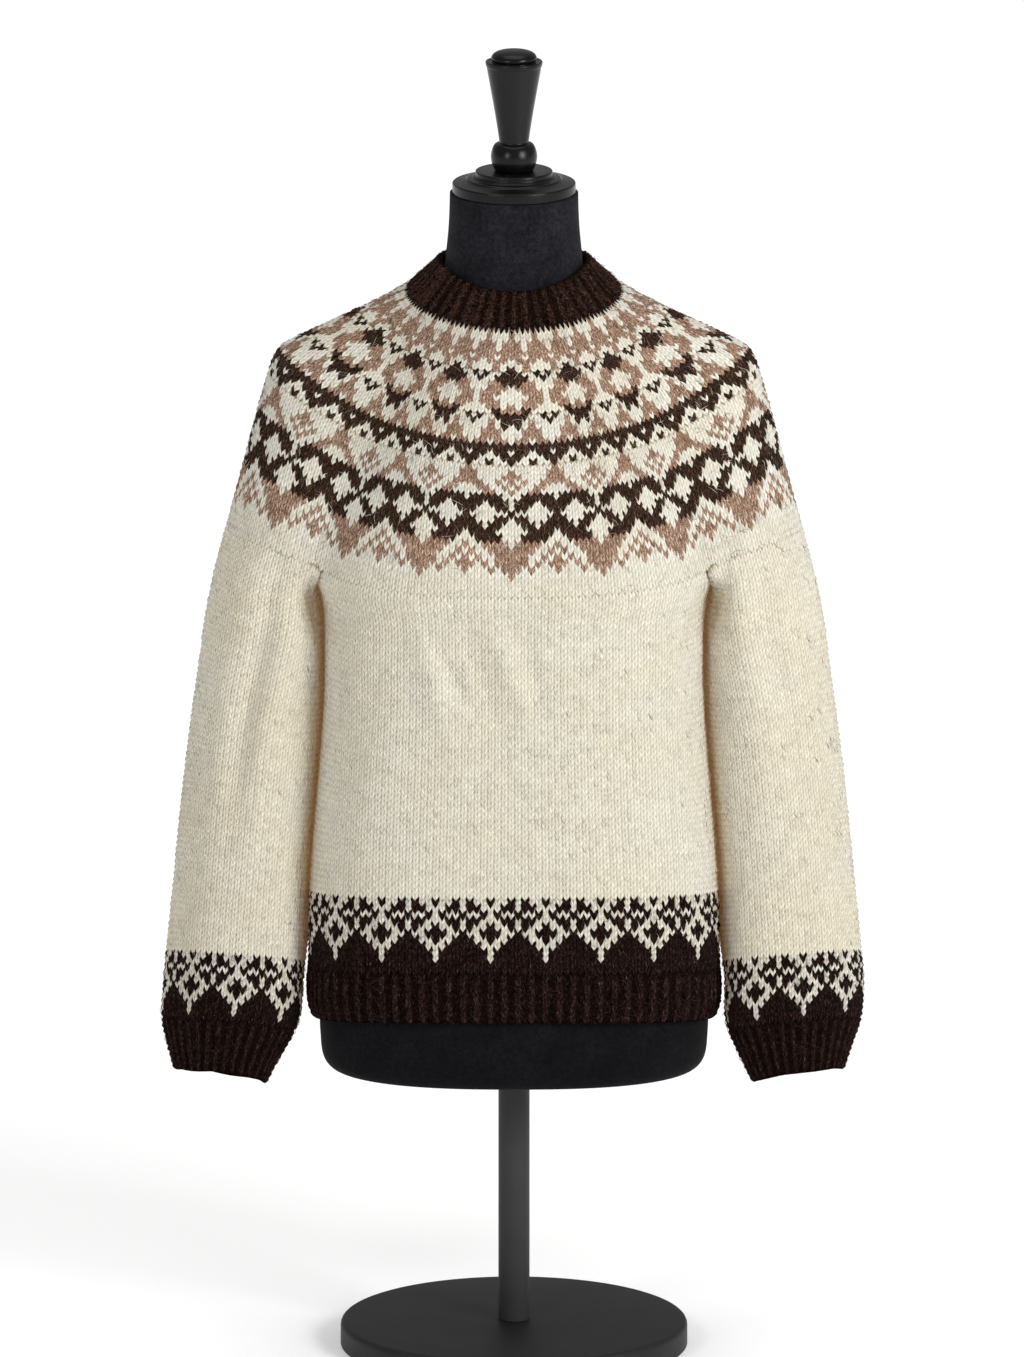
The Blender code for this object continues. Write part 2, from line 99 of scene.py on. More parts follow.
def read_ring(rings: Array, columns: Array) -> Array:
    """Points of closed rings at fractional columns, on the Catmull-Rom curve through their points.

    Args:
        rings: shape (r, c, 3).
        columns: column numbers, shape (n,) or one row of them for each ring, (r, n).

    Returns:
        Points, shape (r, n, 3).
    """
    count = rings.shape[1]
    columns = np.broadcast_to(columns, (len(rings), np.shape(columns)[-1]))
    whole = np.floor(columns).astype(int)
    t = columns - whole
    shares = (
        -0.5 * t**3 + t**2 - 0.5 * t,
        1.5 * t**3 - 2.5 * t**2 + 1,
        -1.5 * t**3 + 2 * t**2 + 0.5 * t,
        0.5 * t**3 - 0.5 * t**2,
    )
    line = np.arange(len(rings))[:, None]
    taps = [rings[line, (whole + tap) % count] * share[..., None] for tap, share in zip((-1, 0, 1, 2), shares)]
    return np.sum(taps, axis=0)


def evenly(points: Array, count: int) -> Array:
    """Points at equal distances along a polyline.

    Args:
        points: the polyline, shape (n, 3).
        count: number of steps.

    Returns:
        Points, shape (count + 1, 3).
    """
    along = lengths_down(points[:, None])
    wanted = np.linspace(0.0, along[-1], count + 1)
    return np.stack([np.interp(wanted, along, points[:, axis]) for axis in range(3)], axis=1)


def bearings(count: int) -> Array:
    """Angles of a ring's points from the front, in radians."""
    return 2 * math.pi * np.arange(count) / count


def through_three(front: float, side: float, back: float, cosine: Array) -> Array:
    """The value that is front, side and back at cosines 1, 0 and -1: side + slope*c + bow*c^2."""
    return side + (front - back) / 2 * cosine + ((front + back) / 2 - side) * cosine**2


def egg_ring(half_width: float, depths: Triple, heights: Triple, count: int) -> Array:
    """A ring given by its half width and its y and z at front, side and back.

    Args:
        half_width: half its width.
        depths: y at front, side and back.
        heights: z at front, side and back.
        count: number of points.

    Returns:
        Points, shape (count, 3).
    """
    bearing = bearings(count)
    cosine = np.cos(bearing)
    y, z = through_three(*depths, cosine), through_three(*heights, cosine)
    return np.stack([half_width * np.sin(bearing), y, z], axis=1)


def superellipse(half_width: float, front: float, back: float, power: float, angle: Array) -> Array:
    """Points with |x/a|^p + |y/b|^p = 1 at z = 0.

    Args:
        half_width: a.
        front: b in front.
        back: b behind.
        power: p.
        angle: angles wanted, 0 in front, shape (n,).

    Returns:
        Points, shape (n, 3).
    """
    x = np.sign(np.sin(angle)) * np.abs(np.sin(angle)) ** (2 / power)
    y = np.sign(np.cos(angle)) * np.abs(np.cos(angle)) ** (2 / power)
    depth = np.where(y > 0, front, back)
    return np.stack([half_width * x, -depth * y, np.zeros(len(angle))], axis=1)


def cosine_series(stations: Array, values: Array, at: Array) -> Array:
    """The smooth even curve through the values at the stations: a sum of as many cosines.

    Args:
        stations: angles of the known values.
        values: the values.
        at: angles wanted.

    Returns:
        Values there.
    """
    orders = np.arange(len(stations))
    weights = np.linalg.solve(np.cos(np.outer(stations, orders)), values)
    return np.cos(np.outer(at, orders)) @ weights


def lengths_down(rings: Array) -> Array:
    """Mean distance of each ring from the first, along the columns."""
    steps = np.linalg.norm(np.diff(rings, axis=0), axis=2).mean(axis=1)
    return np.concatenate([[0.0], np.cumsum(steps)])


def stations_of(rings: Array, split: int, rows: int, more_rows: int) -> Array:
    """Rows on which rings lie, when the stretch above ring `split` has rows and the rest more_rows.

    Args:
        rings: the rings, shape (k, n, 3).
        split: number of the ring that parts the stretches.
        rows: rows above it.
        more_rows: rows below it.

    Returns:
        The row of each ring, shape (k,).
    """
    along = lengths_down(rings)
    upper = along / along[split] * rows
    lower = rows + (along - along[split]) / (along[-1] - along[split]) * more_rows
    return np.where(np.arange(len(rings)) <= split, upper, lower)


# ---- yarn and charts
class Dye(Enum):
    """Yarns under the letters that the charts use, S for sleeves, E for the neck: linear colour, mottling."""

    C = (0.750, 0.738, 0.662, 0.08)
    S = (0.765, 0.741, 0.650, 0.06)
    W = (0.775, 0.768, 0.712, 0.14)
    # N: the white W painted darker, for painted shade low on the garment and for its small stitches that blend with
    # the brown
    N = (0.660, 0.648, 0.600, 0.40)
    T = (0.300, 0.200, 0.146, 1.25)
    # B: the brown D painted lighter, for the light that falls on the yoke from above
    B = (0.0330, 0.0185, 0.0120, 1.80)
    D = (0.0096, 0.0045, 0.0034, 2.30)
    E = (0.0134, 0.0062, 0.0041, 2.30)


PALETTE = np.array([dye.value for dye in Dye])
YOKE_CHART = (
    # stitches in a repeat, and for each row the half repeat from the motif's middle to its edge
    (8, "DDDDD TWWWT TWWWT TTWTT TTWTT TTTTT TTWTT WTTTW WWTWW BWTWW"),
    (10, "BBWWBW BBBWWB BBTTWW WTTTWW WWTTTW WWWTTW WWTTTW TWTTWW TTBWWW"),
    (12, "BBBWWBW BBWTWWB WBWTWWW WWTTTWW WWTTTWW WTTWTTW BBBBBBB WBBWBBW BBWWWBB BWWBWWB"),
    (
        14,
        "WWWWWWWT TWWWWWTT TTWWWWTT TWTWWTTT WTWWTTWW TWWTTWWW WWBBBBBW WBBBWBBB WBBWWWBB BWWWWWWB "
        "WBBWWWBB WWBBWBBB WWWBBBBW WWBBBBWW WTTTTWWT TTTTWWTW TTTWWTWT TTTWTWTT TTWTWWWT TWWWWWWW "
        "CCCCCCCC CCCCCCCC CCCCCCCC",
    ),
)
YOKE_REPEATS = 16
BAND_REPEAT = 8
BAND_CHART = "DNNDN NNDDN NDNND NNDDN DNNDN DDNND DNNDD NNDDD NDDDD NDDDD"


def chart_rows(repeat: int, rows: str) -> Array:
    """Dye numbers of one whole repeat, mirrored from the half that the chart gives.

    Args:
        repeat: stitches in a repeat.
        rows: half repeats parted by spaces, one letter a stitch.

    Returns:
        Array (rows, repeat) of places in the list of dyes.
    """
    names = [dye.name for dye in Dye]
    half = np.array([[names.index(letter) for letter in row] for row in rows.split()])
    column = np.arange(repeat)
    return half[:, np.minimum(column, repeat - column)]


def plain_rows(count: int, stitches: int, dye: Dye) -> Array:
    """Rows of one dye."""
    return np.full((count, stitches), list(Dye).index(dye))


def across(rows: Array, stitches: int, shift: int = 0) -> Array:
    """A repeat laid side by side over a round of stitches, its column `shift` on the first stitch."""
    return rows[:, (np.arange(stitches) + shift) % rows.shape[1]]


@dataclass(frozen=True)
class StitchForm:
    """How the points of a stitch lie, with one entry for each quarter stitch in a repeat.

    Attributes:
        drop: how far each quarter hangs below its row line, in rows.
        seam: relief on the line between two rows, in millimetres.
        crown: relief on the middle of a row, in millimetres.
    """

    drop: tuple[float, ...]
    seam: tuple[float, ...]
    crown: tuple[float, ...]


# columns of points in a stitch
QUARTERS = 4
PLAIN = StitchForm(
    drop=(-0.42, -0.02, 0.42, -0.02),
    seam=(-0.85, -0.15, -0.75, -0.15),
    crown=(-0.60, 0.85, -0.35, 0.85),
)
RIB = StitchForm(
    drop=(-0.28, 0.0, 0.34, 0.0, -0.28, 0.20, -0.12, 0.20),
    seam=(-0.8, 0.0, -0.1, 0.0, -0.9, -1.5, -1.8, -1.5),
    crown=(-0.6, 1.1, 0.4, 1.1, -0.7, -0.8, -1.0, -0.8),
)
PURL_BACK = StitchForm(drop=(0.0,), seam=(0.0,), crown=(0.0,))
RIB_BACK = StitchForm(drop=(0.0,) * 4, seam=(-0.6, -1.6, -0.6, 0.4), crown=(0.0,) * 4)


@dataclass(frozen=True)
class Fold:
    """A soft ridge (height above 0) or trough in a fabric.

    Attributes:
        column: place round the fabric, as a share of the turn from its first column.
        row: row on which it is centred.
        long: half length, in metres.
        wide: half width, in metres.
        height: rise out of the fabric, in millimetres.
        slant: turn from the vertical, in degrees, positive when its foot leans to later columns.
    """

    column: float
    row: float
    long: float
    wide: float
    height: float
    slant: float = 0.0


class Fabric:
    """A smooth tube with a ring of points on every row, read at any fractional row and column."""

    def __init__(self, rings: Array, stations: Array) -> None:
        """Takes rings (k, columns, 3) and the row on which each lies."""
        self.rings, self.stations = np.asarray(rings, float), np.asarray(stations, float)
        self.columns = self.rings.shape[1]

    @classmethod
    def worked(cls, rings: Array, stations: Array, rows: int, columns: Array, folds: tuple[Fold, ...] = ()) -> Fabric:
        """A fabric with a ring on every row and a column on every stitch, with folds in it.

        A fold lifts the fabric by height * exp(-(a/long)^2 - (b/wide)^2), a and b being the distances
        from its middle along and across it.

        Args:
            rings: the coarse rings, shape (k, c, 3).
            stations: the row of each coarse ring.
            rows: number of rows.
            columns: coarse column of each stitch, shape (stitches,) or (rows + 3, stitches).
            folds: ridges and troughs.

        Returns:
            The fabric, which also covers one row above the first and one below the last.
        """
        lines = np.arange(-1, rows + 2).astype(float)
        lofted = np.tensordot(spline_weights(stations, lines), np.asarray(rings, float), (1, 0))
        smooth = cls(read_ring(lofted, columns), lines)
        points, normals = smooth.at(lines, np.arange(smooth.columns))
        pitch = np.linalg.norm(np.diff(points, axis=0), axis=2).mean()
        wale = np.linalg.norm(np.roll(points, -1, axis=1) - points, axis=2).mean()
        lift = np.zeros(points.shape[:2])
        turn_share = np.arange(smooth.columns) / smooth.columns
        for fold in folds:
            sideways = ((turn_share - fold.column + 0.5) % 1 - 0.5) * smooth.columns * wale
            down = (lines - fold.row) * pitch
            turn = math.radians(fold.slant)
            along = down[:, None] * math.cos(turn) + sideways[None] * math.sin(turn)
            cross = sideways[None] * math.cos(turn) - down[:, None] * math.sin(turn)
            lift += fold.height * MM * np.exp(-((along / fold.long) ** 2) - (cross / fold.wide) ** 2)
        return cls(points + normals * lift[..., None], lines)

    def _read(self, rows: Array, columns: Array) -> Array:
        """Points at rows x columns."""
        lofted = np.tensordot(spline_weights(self.stations, rows), self.rings, (1, 0))
        return read_ring(lofted, columns)

    def at(self, rows: Array, columns: Array) -> tuple[Array, Array]:
        """Points and outward unit normals; the normal is (down the rows) x (along the columns).

        Args:
            rows: row numbers, shape (r,).
            columns: column numbers, shape (n,).

        Returns:
            Two arrays of shape (r, n, 3).
        """
        step = 0.25
        down = self._read(rows + step, columns) - self._read(rows - step, columns)
        round_way = self._read(rows, columns + step) - self._read(rows, columns - step)
        normal = np.cross(down, round_way)
        normal /= np.linalg.norm(normal, axis=2)[..., None]
        return self._read(rows, columns), normal

    def moved(self, offsets: Array) -> Fabric:
        """The fabric with its points moved by offsets of the same shape."""
        return Fabric(self.rings + offsets, self.stations)

    def mirrored(self) -> Fabric:
        """The fabric of the other side: x turned round, and the columns run the other way."""
        return Fabric(np.roll(self.rings[:, ::-1] * (-1, 1, 1), 1, axis=1), self.stations)

    def cut(self, first: int, last: int) -> Triple:
        """Flat size of the stretch between two rows.

        Args:
            first: its first row.
            last: the row after its last.

        Returns:
            Largest girth, mean length down the columns, and area.
        """
        rows = np.arange(first, last + 1).astype(float)
        points = self._read(rows, np.arange(self.columns))
        girths = np.linalg.norm(np.roll(points, -1, axis=1) - points, axis=2).sum(axis=1)
        drops = np.linalg.norm(np.diff(points, axis=0), axis=2).mean(axis=1)
        area = float((drops * (girths[:-1] + girths[1:]) / 2).sum())
        return float(girths.max()), float(drops.sum()), area


# ---- knitted meshes
class RingStack:
    """Rings of points joined one after another into one mesh, with a dye and a place for each face."""

    def __init__(self) -> None:
        """Starts with no points."""
        self.points, self.reliefs, self.corners, self.sizes, self.dyes, self.places, self.flat = (
            [] for _ in range(7)
        )
        self.count = 0
        self.first: Array | None = None
        self.last: Array | None = None
        self.last_dyes: Array | None = None

    def add_faces(self, corners: Array, dyes: Array, places: Array) -> None:
        """Adds faces of one size, with a dye each and a place for each corner.

        Args:
            corners: vertex numbers, shape (f, k).
            dyes: shape (f, 4).
            places: stitch and row, shape (f, k, 2).
        """
        size = corners.shape[1]
        self.flat.append(np.full(len(corners), size == 3))
        self.corners.append(corners.ravel())
        self.sizes.append(np.full(len(corners), size))
        self.dyes.append(np.repeat(dyes, size, axis=0))
        self.places.append(places.reshape(-1, 2))

    def grid(self, points: Array, reliefs: Array, dyes: Array, stitches: float, rows: Array) -> None:
        """Adds rings of equal count and the quads between them, zipped to what is above.

        Args:
            points: rings in order, shape (r, n, 3).
            reliefs: height of each point out of the fabric, shape (r, n).
            dyes: dye of each quad, shape (r - 1, n, 4).
            stitches: stitches round the ring.
            rows: row of each ring, shape (r,).
        """
        rings, count = points.shape[:2]
        ids = self.count + np.arange(rings * count).reshape(rings, count)
        self.count += rings * count
        self.points.append(points.reshape(-1, 3))
        self.reliefs.append(reliefs.ravel())
        if self.last is None:
            self.first = ids[0]
        else:
            self._zip(self.last, ids[0], (self.last_dyes, dyes[0]), stitches, rows[0])
        after = np.roll(ids, -1, axis=1)
        quads = np.stack([ids[:-1], ids[1:], after[1:], after[:-1]], axis=2).reshape(-1, 4)
        step = stitches / count
        u, v0 = np.meshgrid(np.arange(count) * step, rows[:-1])
        v1 = np.broadcast_to(rows[1:, None], v0.shape)
        places = np.stack([u, v0, u, v1, u + step, v1, u + step, v0], axis=2).reshape(-1, 4, 2)
        self.add_faces(quads, dyes.reshape(-1, 4), places)
        self.last, self.last_dyes = ids[-1], dyes[-1]

    def _zip(self, upper: Array, lower: Array, dyes: tuple[Array, Array], stitches: float, row: float) -> None:
        """Joins two rings of any counts with triangles, each edge to the other ring's nearest point.

        Args:
            upper: vertex numbers of the ring above.
            lower: those of the ring below.
            dyes: dyes of the faces on either ring.
            stitches: stitches round the rings.
            row: row of the join.
        """
        upper_mid = (np.arange(len(upper)) + 0.5) / len(upper)
        lower_mid = (np.arange(len(lower)) + 0.5) / len(lower)
        facing = np.searchsorted(lower_mid, upper_mid) % len(lower)
        above = np.stack([upper, lower[facing], np.roll(upper, -1)], axis=1)
        facing = np.searchsorted(upper_mid, lower_mid, side="right") % len(upper)
        below = np.stack([lower, np.roll(lower, -1), upper[facing]], axis=1)
        for faces, middles, colours in zip((above, below), (upper_mid, lower_mid), dyes):
            places = np.stack([middles * stitches, np.full(len(middles), row)], axis=1)
            self.add_faces(faces, colours, np.repeat(places[:, None], 3, axis=1))

    def close(self) -> None:
        """Joins the last ring to the first, which makes the tube a closed wall."""
        dyes = np.repeat(self.last_dyes[:1], len(self.first), axis=0)
        self._zip(self.last, self.first, (self.last_dyes, dyes), 0.0, 0.0)

    def cap_ends(self) -> None:
        """Closes the first ring from above and the last from below, which makes the tube a solid."""
        for ring in (self.first, self.last[::-1]):
            self.add_faces(ring[None], self.last_dyes[:1], np.zeros((1, len(ring), 2)))

    def mesh(self, name: str) -> bpy.types.Mesh:
        """The smooth mesh, with the dye, the relief, and stitch and row as its UV map.

        Args:
            name: name of the mesh.

        Returns:
            The mesh.
        """
        points = np.concatenate(self.points)
        corners = np.concatenate(self.corners).astype(np.int32)
        sizes = np.concatenate(self.sizes).astype(np.int32)
        mesh = bpy.data.meshes.new(name)
        mesh.vertices.add(len(points))
        mesh.vertices.foreach_set("co", points.astype(np.float32).ravel())
        mesh.loops.add(len(corners))
        mesh.loops.foreach_set("vertex_index", corners)
        mesh.polygons.add(len(sizes))
        mesh.polygons.foreach_set("loop_start", np.concatenate([[0], np.cumsum(sizes)[:-1]]).astype(np.int32))
        mesh.update(calc_edges=True)
        dyes = np.concatenate(self.dyes).astype(np.float32)
        mesh.color_attributes.new("dye", "FLOAT_COLOR", "CORNER").data.foreach_set("color", dyes.ravel())
        relief = mesh.attributes.new("relief", "FLOAT", "POINT")
        relief.data.foreach_set("value", np.concatenate(self.reliefs).astype(np.float32))
        places = mesh.uv_layers.new(name="stitch")
        places.data.foreach_set("uv", np.concatenate(self.places).astype(np.float32).ravel())
        mesh.shade_smooth()
        flat = mesh.attributes.new("sharp_face", "BOOLEAN", "FACE")
        flat.data.foreach_set("value", np.concatenate(self.flat))
        return mesh


class Edge(Enum):
    """How a knitted tube ends: against the next piece, under it, over it, or open."""

    SEAM = "seam"
    UNDER = "under"
    OVER = "over"
    OPEN = "open"


@dataclass
class Course:
    """A run of rows with one stitch count.

    Attributes:
        dyes: dye numbers, rows x stitches.
        form: how its stitches lie.
        long_row: row whose stitches reach up further into the row above, or none if 0.
        reach: how much further, in rows.
    """

    dyes: Array
    form: StitchForm
    long_row: int = 0
    reach: float = 0.0

    @property
    def rows(self) -> int:
        """Number of rows."""
        return self.dyes.shape[0]

    @property
    def stitches(self) -> int:
        """Number of stitches in a round."""
        return self.dyes.shape[1]


def rows_of(courses: list[Course]) -> int:
    """Rows of all the courses together."""
    return sum(course.rows for course in courses)


def smooth_step(value: Array, low: float, high: float) -> Array:
    """0 below low, 1 above high, 3t^2 - 2t^3 between."""
    share = np.clip((value - low) / (high - low), 0, 1)
    return share**2 * (3 - 2 * share)


@dataclass(frozen=True)
class ArmPress:
    """How a hanging arm and the body lean on each other: behind their meeting line both move inwards.

    Formula: inward shift = depth * rise with y * window in z * fade with distance from the body.

    Attributes:
        depth: greatest shift.
        across: y between which it rises.
        foot: z between which it starts.
        head: z between which it ends.
        reach: distances from the middle between which it fades.
        middle: distance from the middle up to which it grows from nothing.
    """

    depth: float = 0.0085
    across: tuple[float, float] = (-0.050, 0.045)
    foot: tuple[float, float] = (0.325, 0.375)
    head: tuple[float, float] = (0.650, 0.698)
    reach: tuple[float, float] = (0.188, 0.250)
    middle: float = 0.12

    def apply(self, fabric: Fabric) -> Fabric:
        """The pressed fabric.

        Args:
            fabric: a body or sleeve.

        Returns:
            The fabric with its points moved.
        """
        x, y, z = np.moveaxis(fabric.rings, -1, 0)
        window = smooth_step(z, *self.foot) * (1 - smooth_step(z, *self.head))
        shift = self.depth * smooth_step(y, *self.across) * window * (1 - smooth_step(np.abs(x), *self.reach))
        side = np.clip(x / self.middle, -1, 1)
        return fabric.moved(np.stack([-side * shift, 0 * x, 0 * x], axis=-1))


@dataclass(frozen=True)
class CuffHang:
    """How one cuff swings out and how uneven its edge is.

    Formula, with t rising from 0 to 1 down the cuff: x moves by lean * t, and z by the sum of
    wave * sin(2b + turn) and half of it * sin(5b + 2 turn), times t, b being the bearing in the round.
    """

    lean: float
    wave: float
    turn: float

    def apply(self, fabric: Fabric, first: int, last: int) -> Fabric:
        """The fabric with its cuff hung.

        Args:
            fabric: a sleeve with its cuff.
            first: row where the cuff starts.
            last: its last row.

        Returns:
            The fabric with its points moved.
        """
        share = smooth_step(fabric.stations, first, last)[:, None]
        bearing = bearings(fabric.columns)
        drop = self.wave * (np.sin(2 * bearing + self.turn) + 0.5 * np.sin(5 * bearing + 2 * self.turn))
        still = np.zeros(fabric.rings.shape[:2])
        return fabric.moved(np.stack([still + self.lean * share, still, drop * share], axis=-1))


@dataclass
class KnitTube:
    """A tube knitted in courses over a fabric, with its wall closed on the inside.

    Attributes:
        name: name of the piece.
        fabric: the form that it follows.
        first_row: row of the fabric on which it starts.
        courses: its stitches, from top to bottom.
        wall: thickness of the knit.
        top: how it ends above.
        bottom: how it ends below.
        back: how its inner face lies.
        back_per_stitch: points of the inner face for each stitch.
        turn: stitches by which the round is turned from the fabric's first column.
    """

    name: str
    fabric: Fabric
    first_row: int
    courses: list[Course]
    wall: float = 3 * MM
    top: Edge = Edge.UNDER
    bottom: Edge = Edge.OVER
    back: StitchForm = PURL_BACK
    back_per_stitch: float = 0.5
    turn: float = 0.0

    # rows left free at a seam, and by which a course reaches up under the one above
    SEAM_ROOM = 0.03
    TONGUE = 0.55
    # reliefs of a hidden edge, and the most that an edge under another may have
    TUCK = -1.8 * MM
    UNDER = -1.3 * MM
    # an open edge: share of the drop that it keeps, rows that it rolls on, height that it curls in by,
    # and shares of the wall at which it turns over
    EDGE_REACH = 0.5
    EDGE_ROLL = 0.12
    EDGE_CURL = 0.8 * MM
    EDGE_TURN = (0.25, 0.75)
    # mean colour below which a yarn is dark, and how far its stitches swell
    DARK = 0.1
    SWELL_DOWN = 0.13
    SWELL_ROUND = 0.32
    # spreads from stitch to stitch of shade, relief and place, and steps of the random seed
    SHADE_SPREAD = 0.014
    RELIEF_SPREAD = 0.06
    SHIFT_SPREAD = 0.16
    SEED_STEP = 31

    def _points(self, lines: Array, stitches: int, drop: Array, relief: Array) -> Array:
        """Points of rings whose every quarter hangs and stands out by its own amount.

        Args:
            lines: row of each ring, shape (r,).
            stitches: stitches in the round; the first is centred on the fabric's first column.
            drop: rows by which each quarter in a repeat hangs lower, shape (r, p).
            relief: height out of the fabric, shape (r, points on a ring).

        Returns:
            Points, shape (r, points on a ring, 3).
        """
        count, period = relief.shape[1], drop.shape[1]
        columns = (np.arange(count) / count + (self.turn - 0.5) / stitches) * self.fabric.columns
        points = np.empty((len(lines), count, 3))
        for quarter in range(period):
            part = slice(quarter, None, period)
            spots, normals = self.fabric.at(lines + drop[:, quarter], columns[part])
            points[:, part] = spots + normals * relief[:, part, None]
        return points

    def _course(self, stack: RingStack, course: Course, start: float, first: bool, last: bool) -> None:
        """Adds the face of one course, tucked under the course above and over the one below.

        Args:
            stack: rings so far.
            course: its stitches.
            start: row on which it starts.
            first: whether it is the tube's first.
            last: whether it is the tube's last.
        """
        rng = np.random.default_rng(SEED + self.SEED_STEP * int(start + 1) + course.stitches)
        form, stitches = course.form, course.stitches
        period, count = len(form.drop), QUARTERS * stitches
        lines = start + np.arange(2 * course.rows + 1) / 2
        odd = np.arange(len(lines))[:, None] % 2
        relief = np.tile(np.where(odd, form.crown, form.seam), (1, count // period)) * MM
        spread = 1 + self.RELIEF_SPREAD * rng.normal(size=(len(lines), stitches))
        spread[[0, -1]] = 1
        relief = relief * np.repeat(spread, QUARTERS, axis=1)
        drop = np.tile(form.drop, (len(lines), 1))
        if course.long_row:
            seam = 2 * course.long_row
            up = np.minimum(np.array(form.drop), 0) / -min(form.drop)
            drop[seam] += course.reach * up
            drop[seam - 1] += course.reach / 2 * up
        if first and self.top is Edge.SEAM:
            lines[0] += self.SEAM_ROOM
        elif first and self.top is Edge.OPEN:
            drop[0] *= self.EDGE_REACH
            relief[0] -= self.EDGE_CURL
        else:
            if not first:
                relief[0] = np.minimum(relief[0], self.UNDER)
            lines = np.concatenate([[start - self.TONGUE], lines])
            relief = np.concatenate([np.full((1, count), self.TUCK), relief])
            drop = np.concatenate([np.zeros((1, period)), drop])
        if not last:
            lines = np.concatenate([lines, lines[-1:]])
            relief = np.concatenate([relief, np.full((1, count), self.TUCK)])
            drop = np.concatenate([drop, drop[-1:]])
        elif self.bottom is Edge.UNDER:
            relief[-2:] = self.TUCK
        elif self.bottom is Edge.OPEN:
            drop[-1] *= self.EDGE_REACH
            relief[-1] -= self.EDGE_CURL
        points = self._points(lines, stitches, drop, relief)
        shift = self.SHIFT_SPREAD * rng.normal(size=(len(lines), stitches))
        shift[[0, 1, -2, -1]] = 0
        points += (np.roll(points, -1, axis=1) - points) * np.repeat(shift, QUARTERS, axis=1)[..., None]
        tongue = int(not (first and self.top in (Edge.SEAM, Edge.OPEN)))
        self._swell(points[tongue : tongue + 2 * course.rows + 1], course)
        middles = np.clip(np.floor((lines[:-1] + lines[1:]) / 2 - start).astype(int), 0, course.rows - 1)
        colours = PALETTE[course.dyes].copy()
        colours[..., :3] *= 1 + self.SHADE_SPREAD * rng.normal(size=(*course.dyes.shape, 1))
        stack.grid(points, relief, np.repeat(colours[middles], QUARTERS, axis=1), stitches, lines)

    def _swell(self, rings: Array, course: Course) -> None:
        """Lets dark stitches swell over their light neighbours, in place.

        Formula: a point between two stitches moves by a share of the way from the darker to the lighter
        one, SWELL_DOWN of a row along the wales and SWELL_ROUND of half a stitch along the rows.

        Args:
            rings: points of the course, seams on even rings and crowns on odd ones, (2 rows + 1, n, 3).
            course: its stitches.
        """
        dark = (PALETTE[course.dyes][..., :3].mean(axis=-1) < self.DARK).astype(float)
        down = np.repeat(self.SWELL_DOWN * (dark[:-1] - dark[1:]), QUARTERS, axis=1)
        down[:, ::QUARTERS] = (down[:, ::QUARTERS] + np.roll(down, 1, axis=1)[:, ::QUARTERS]) / 2
        rings[2:-1:2] += (rings[3::2] - rings[1:-2:2]) * down[..., None]
        crowns = rings[1::2]
        way = crowns[:, 1::QUARTERS] - np.roll(crowns[:, 3::QUARTERS], 1, axis=1)
        crowns[:, ::QUARTERS] += way * (self.SWELL_ROUND * (np.roll(dark, 1, axis=1) - dark))[..., None]

    def _edge(self, stack: RingStack, dyes: Array, row: float, depths: tuple[float, float]) -> None:
        """Rolls an open edge over from one face to the other in two rings, each at a share of the wall.

        Args:
            stack: rings so far.
            dyes: dye number of each stitch.
            row: row of the edge.
            depths: the shares.
        """
        stitches = len(dyes)
        relief = np.repeat(-np.array(depths)[:, None] * self.wall, QUARTERS * stitches, axis=1)
        lines = np.full(2, row)
        points = self._points(lines, stitches, np.zeros((2, QUARTERS)), relief)
        stack.grid(points, relief, np.repeat(PALETTE[dyes], QUARTERS, axis=0)[None], stitches, lines)

    def build(self) -> bpy.types.Mesh:
        """The closed mesh: outer face down, edge, inner face up, edge.

        Returns:
            The mesh.
        """
        stack = RingStack()
        row = float(self.first_row)
        for number, course in enumerate(self.courses):
            self._course(stack, course, row, number == 0, number == len(self.courses) - 1)
            row += course.rows
        head, foot = self.courses[0].dyes[0], self.courses[-1].dyes[-1]
        if self.bottom is Edge.OPEN:
            self._edge(stack, foot, row + self.EDGE_ROLL, self.EDGE_TURN)
        stitches = len(foot)
        rounds = [course.dyes[:, np.arange(stitches) * course.stitches // stitches] for course in self.courses]
        dyes = np.concatenate(rounds)[::-1]
        per_row = 2 if self.back is RIB_BACK else 1
        lines = row - np.arange(per_row * len(dyes) + 1) / per_row
        count, period = int(stitches * self.back_per_stitch), len(self.back.drop)
        relief = -self.wall - np.tile(self.back.seam, (len(lines), count // period)) * MM
        if self.bottom is Edge.OVER:
            relief[:2] = self.UNDER
        points = self._points(lines, stitches, np.zeros((len(lines), period)), relief)
        colours = PALETTE[dyes][:, np.arange(count) * stitches // count]
        stack.grid(points, relief, np.repeat(colours, per_row, axis=0), stitches, lines)
        if self.top is Edge.OPEN:
            self._edge(stack, head, self.first_row - self.EDGE_ROLL, self.EDGE_TURN[::-1])
        stack.close()
        return stack.mesh(self.name)


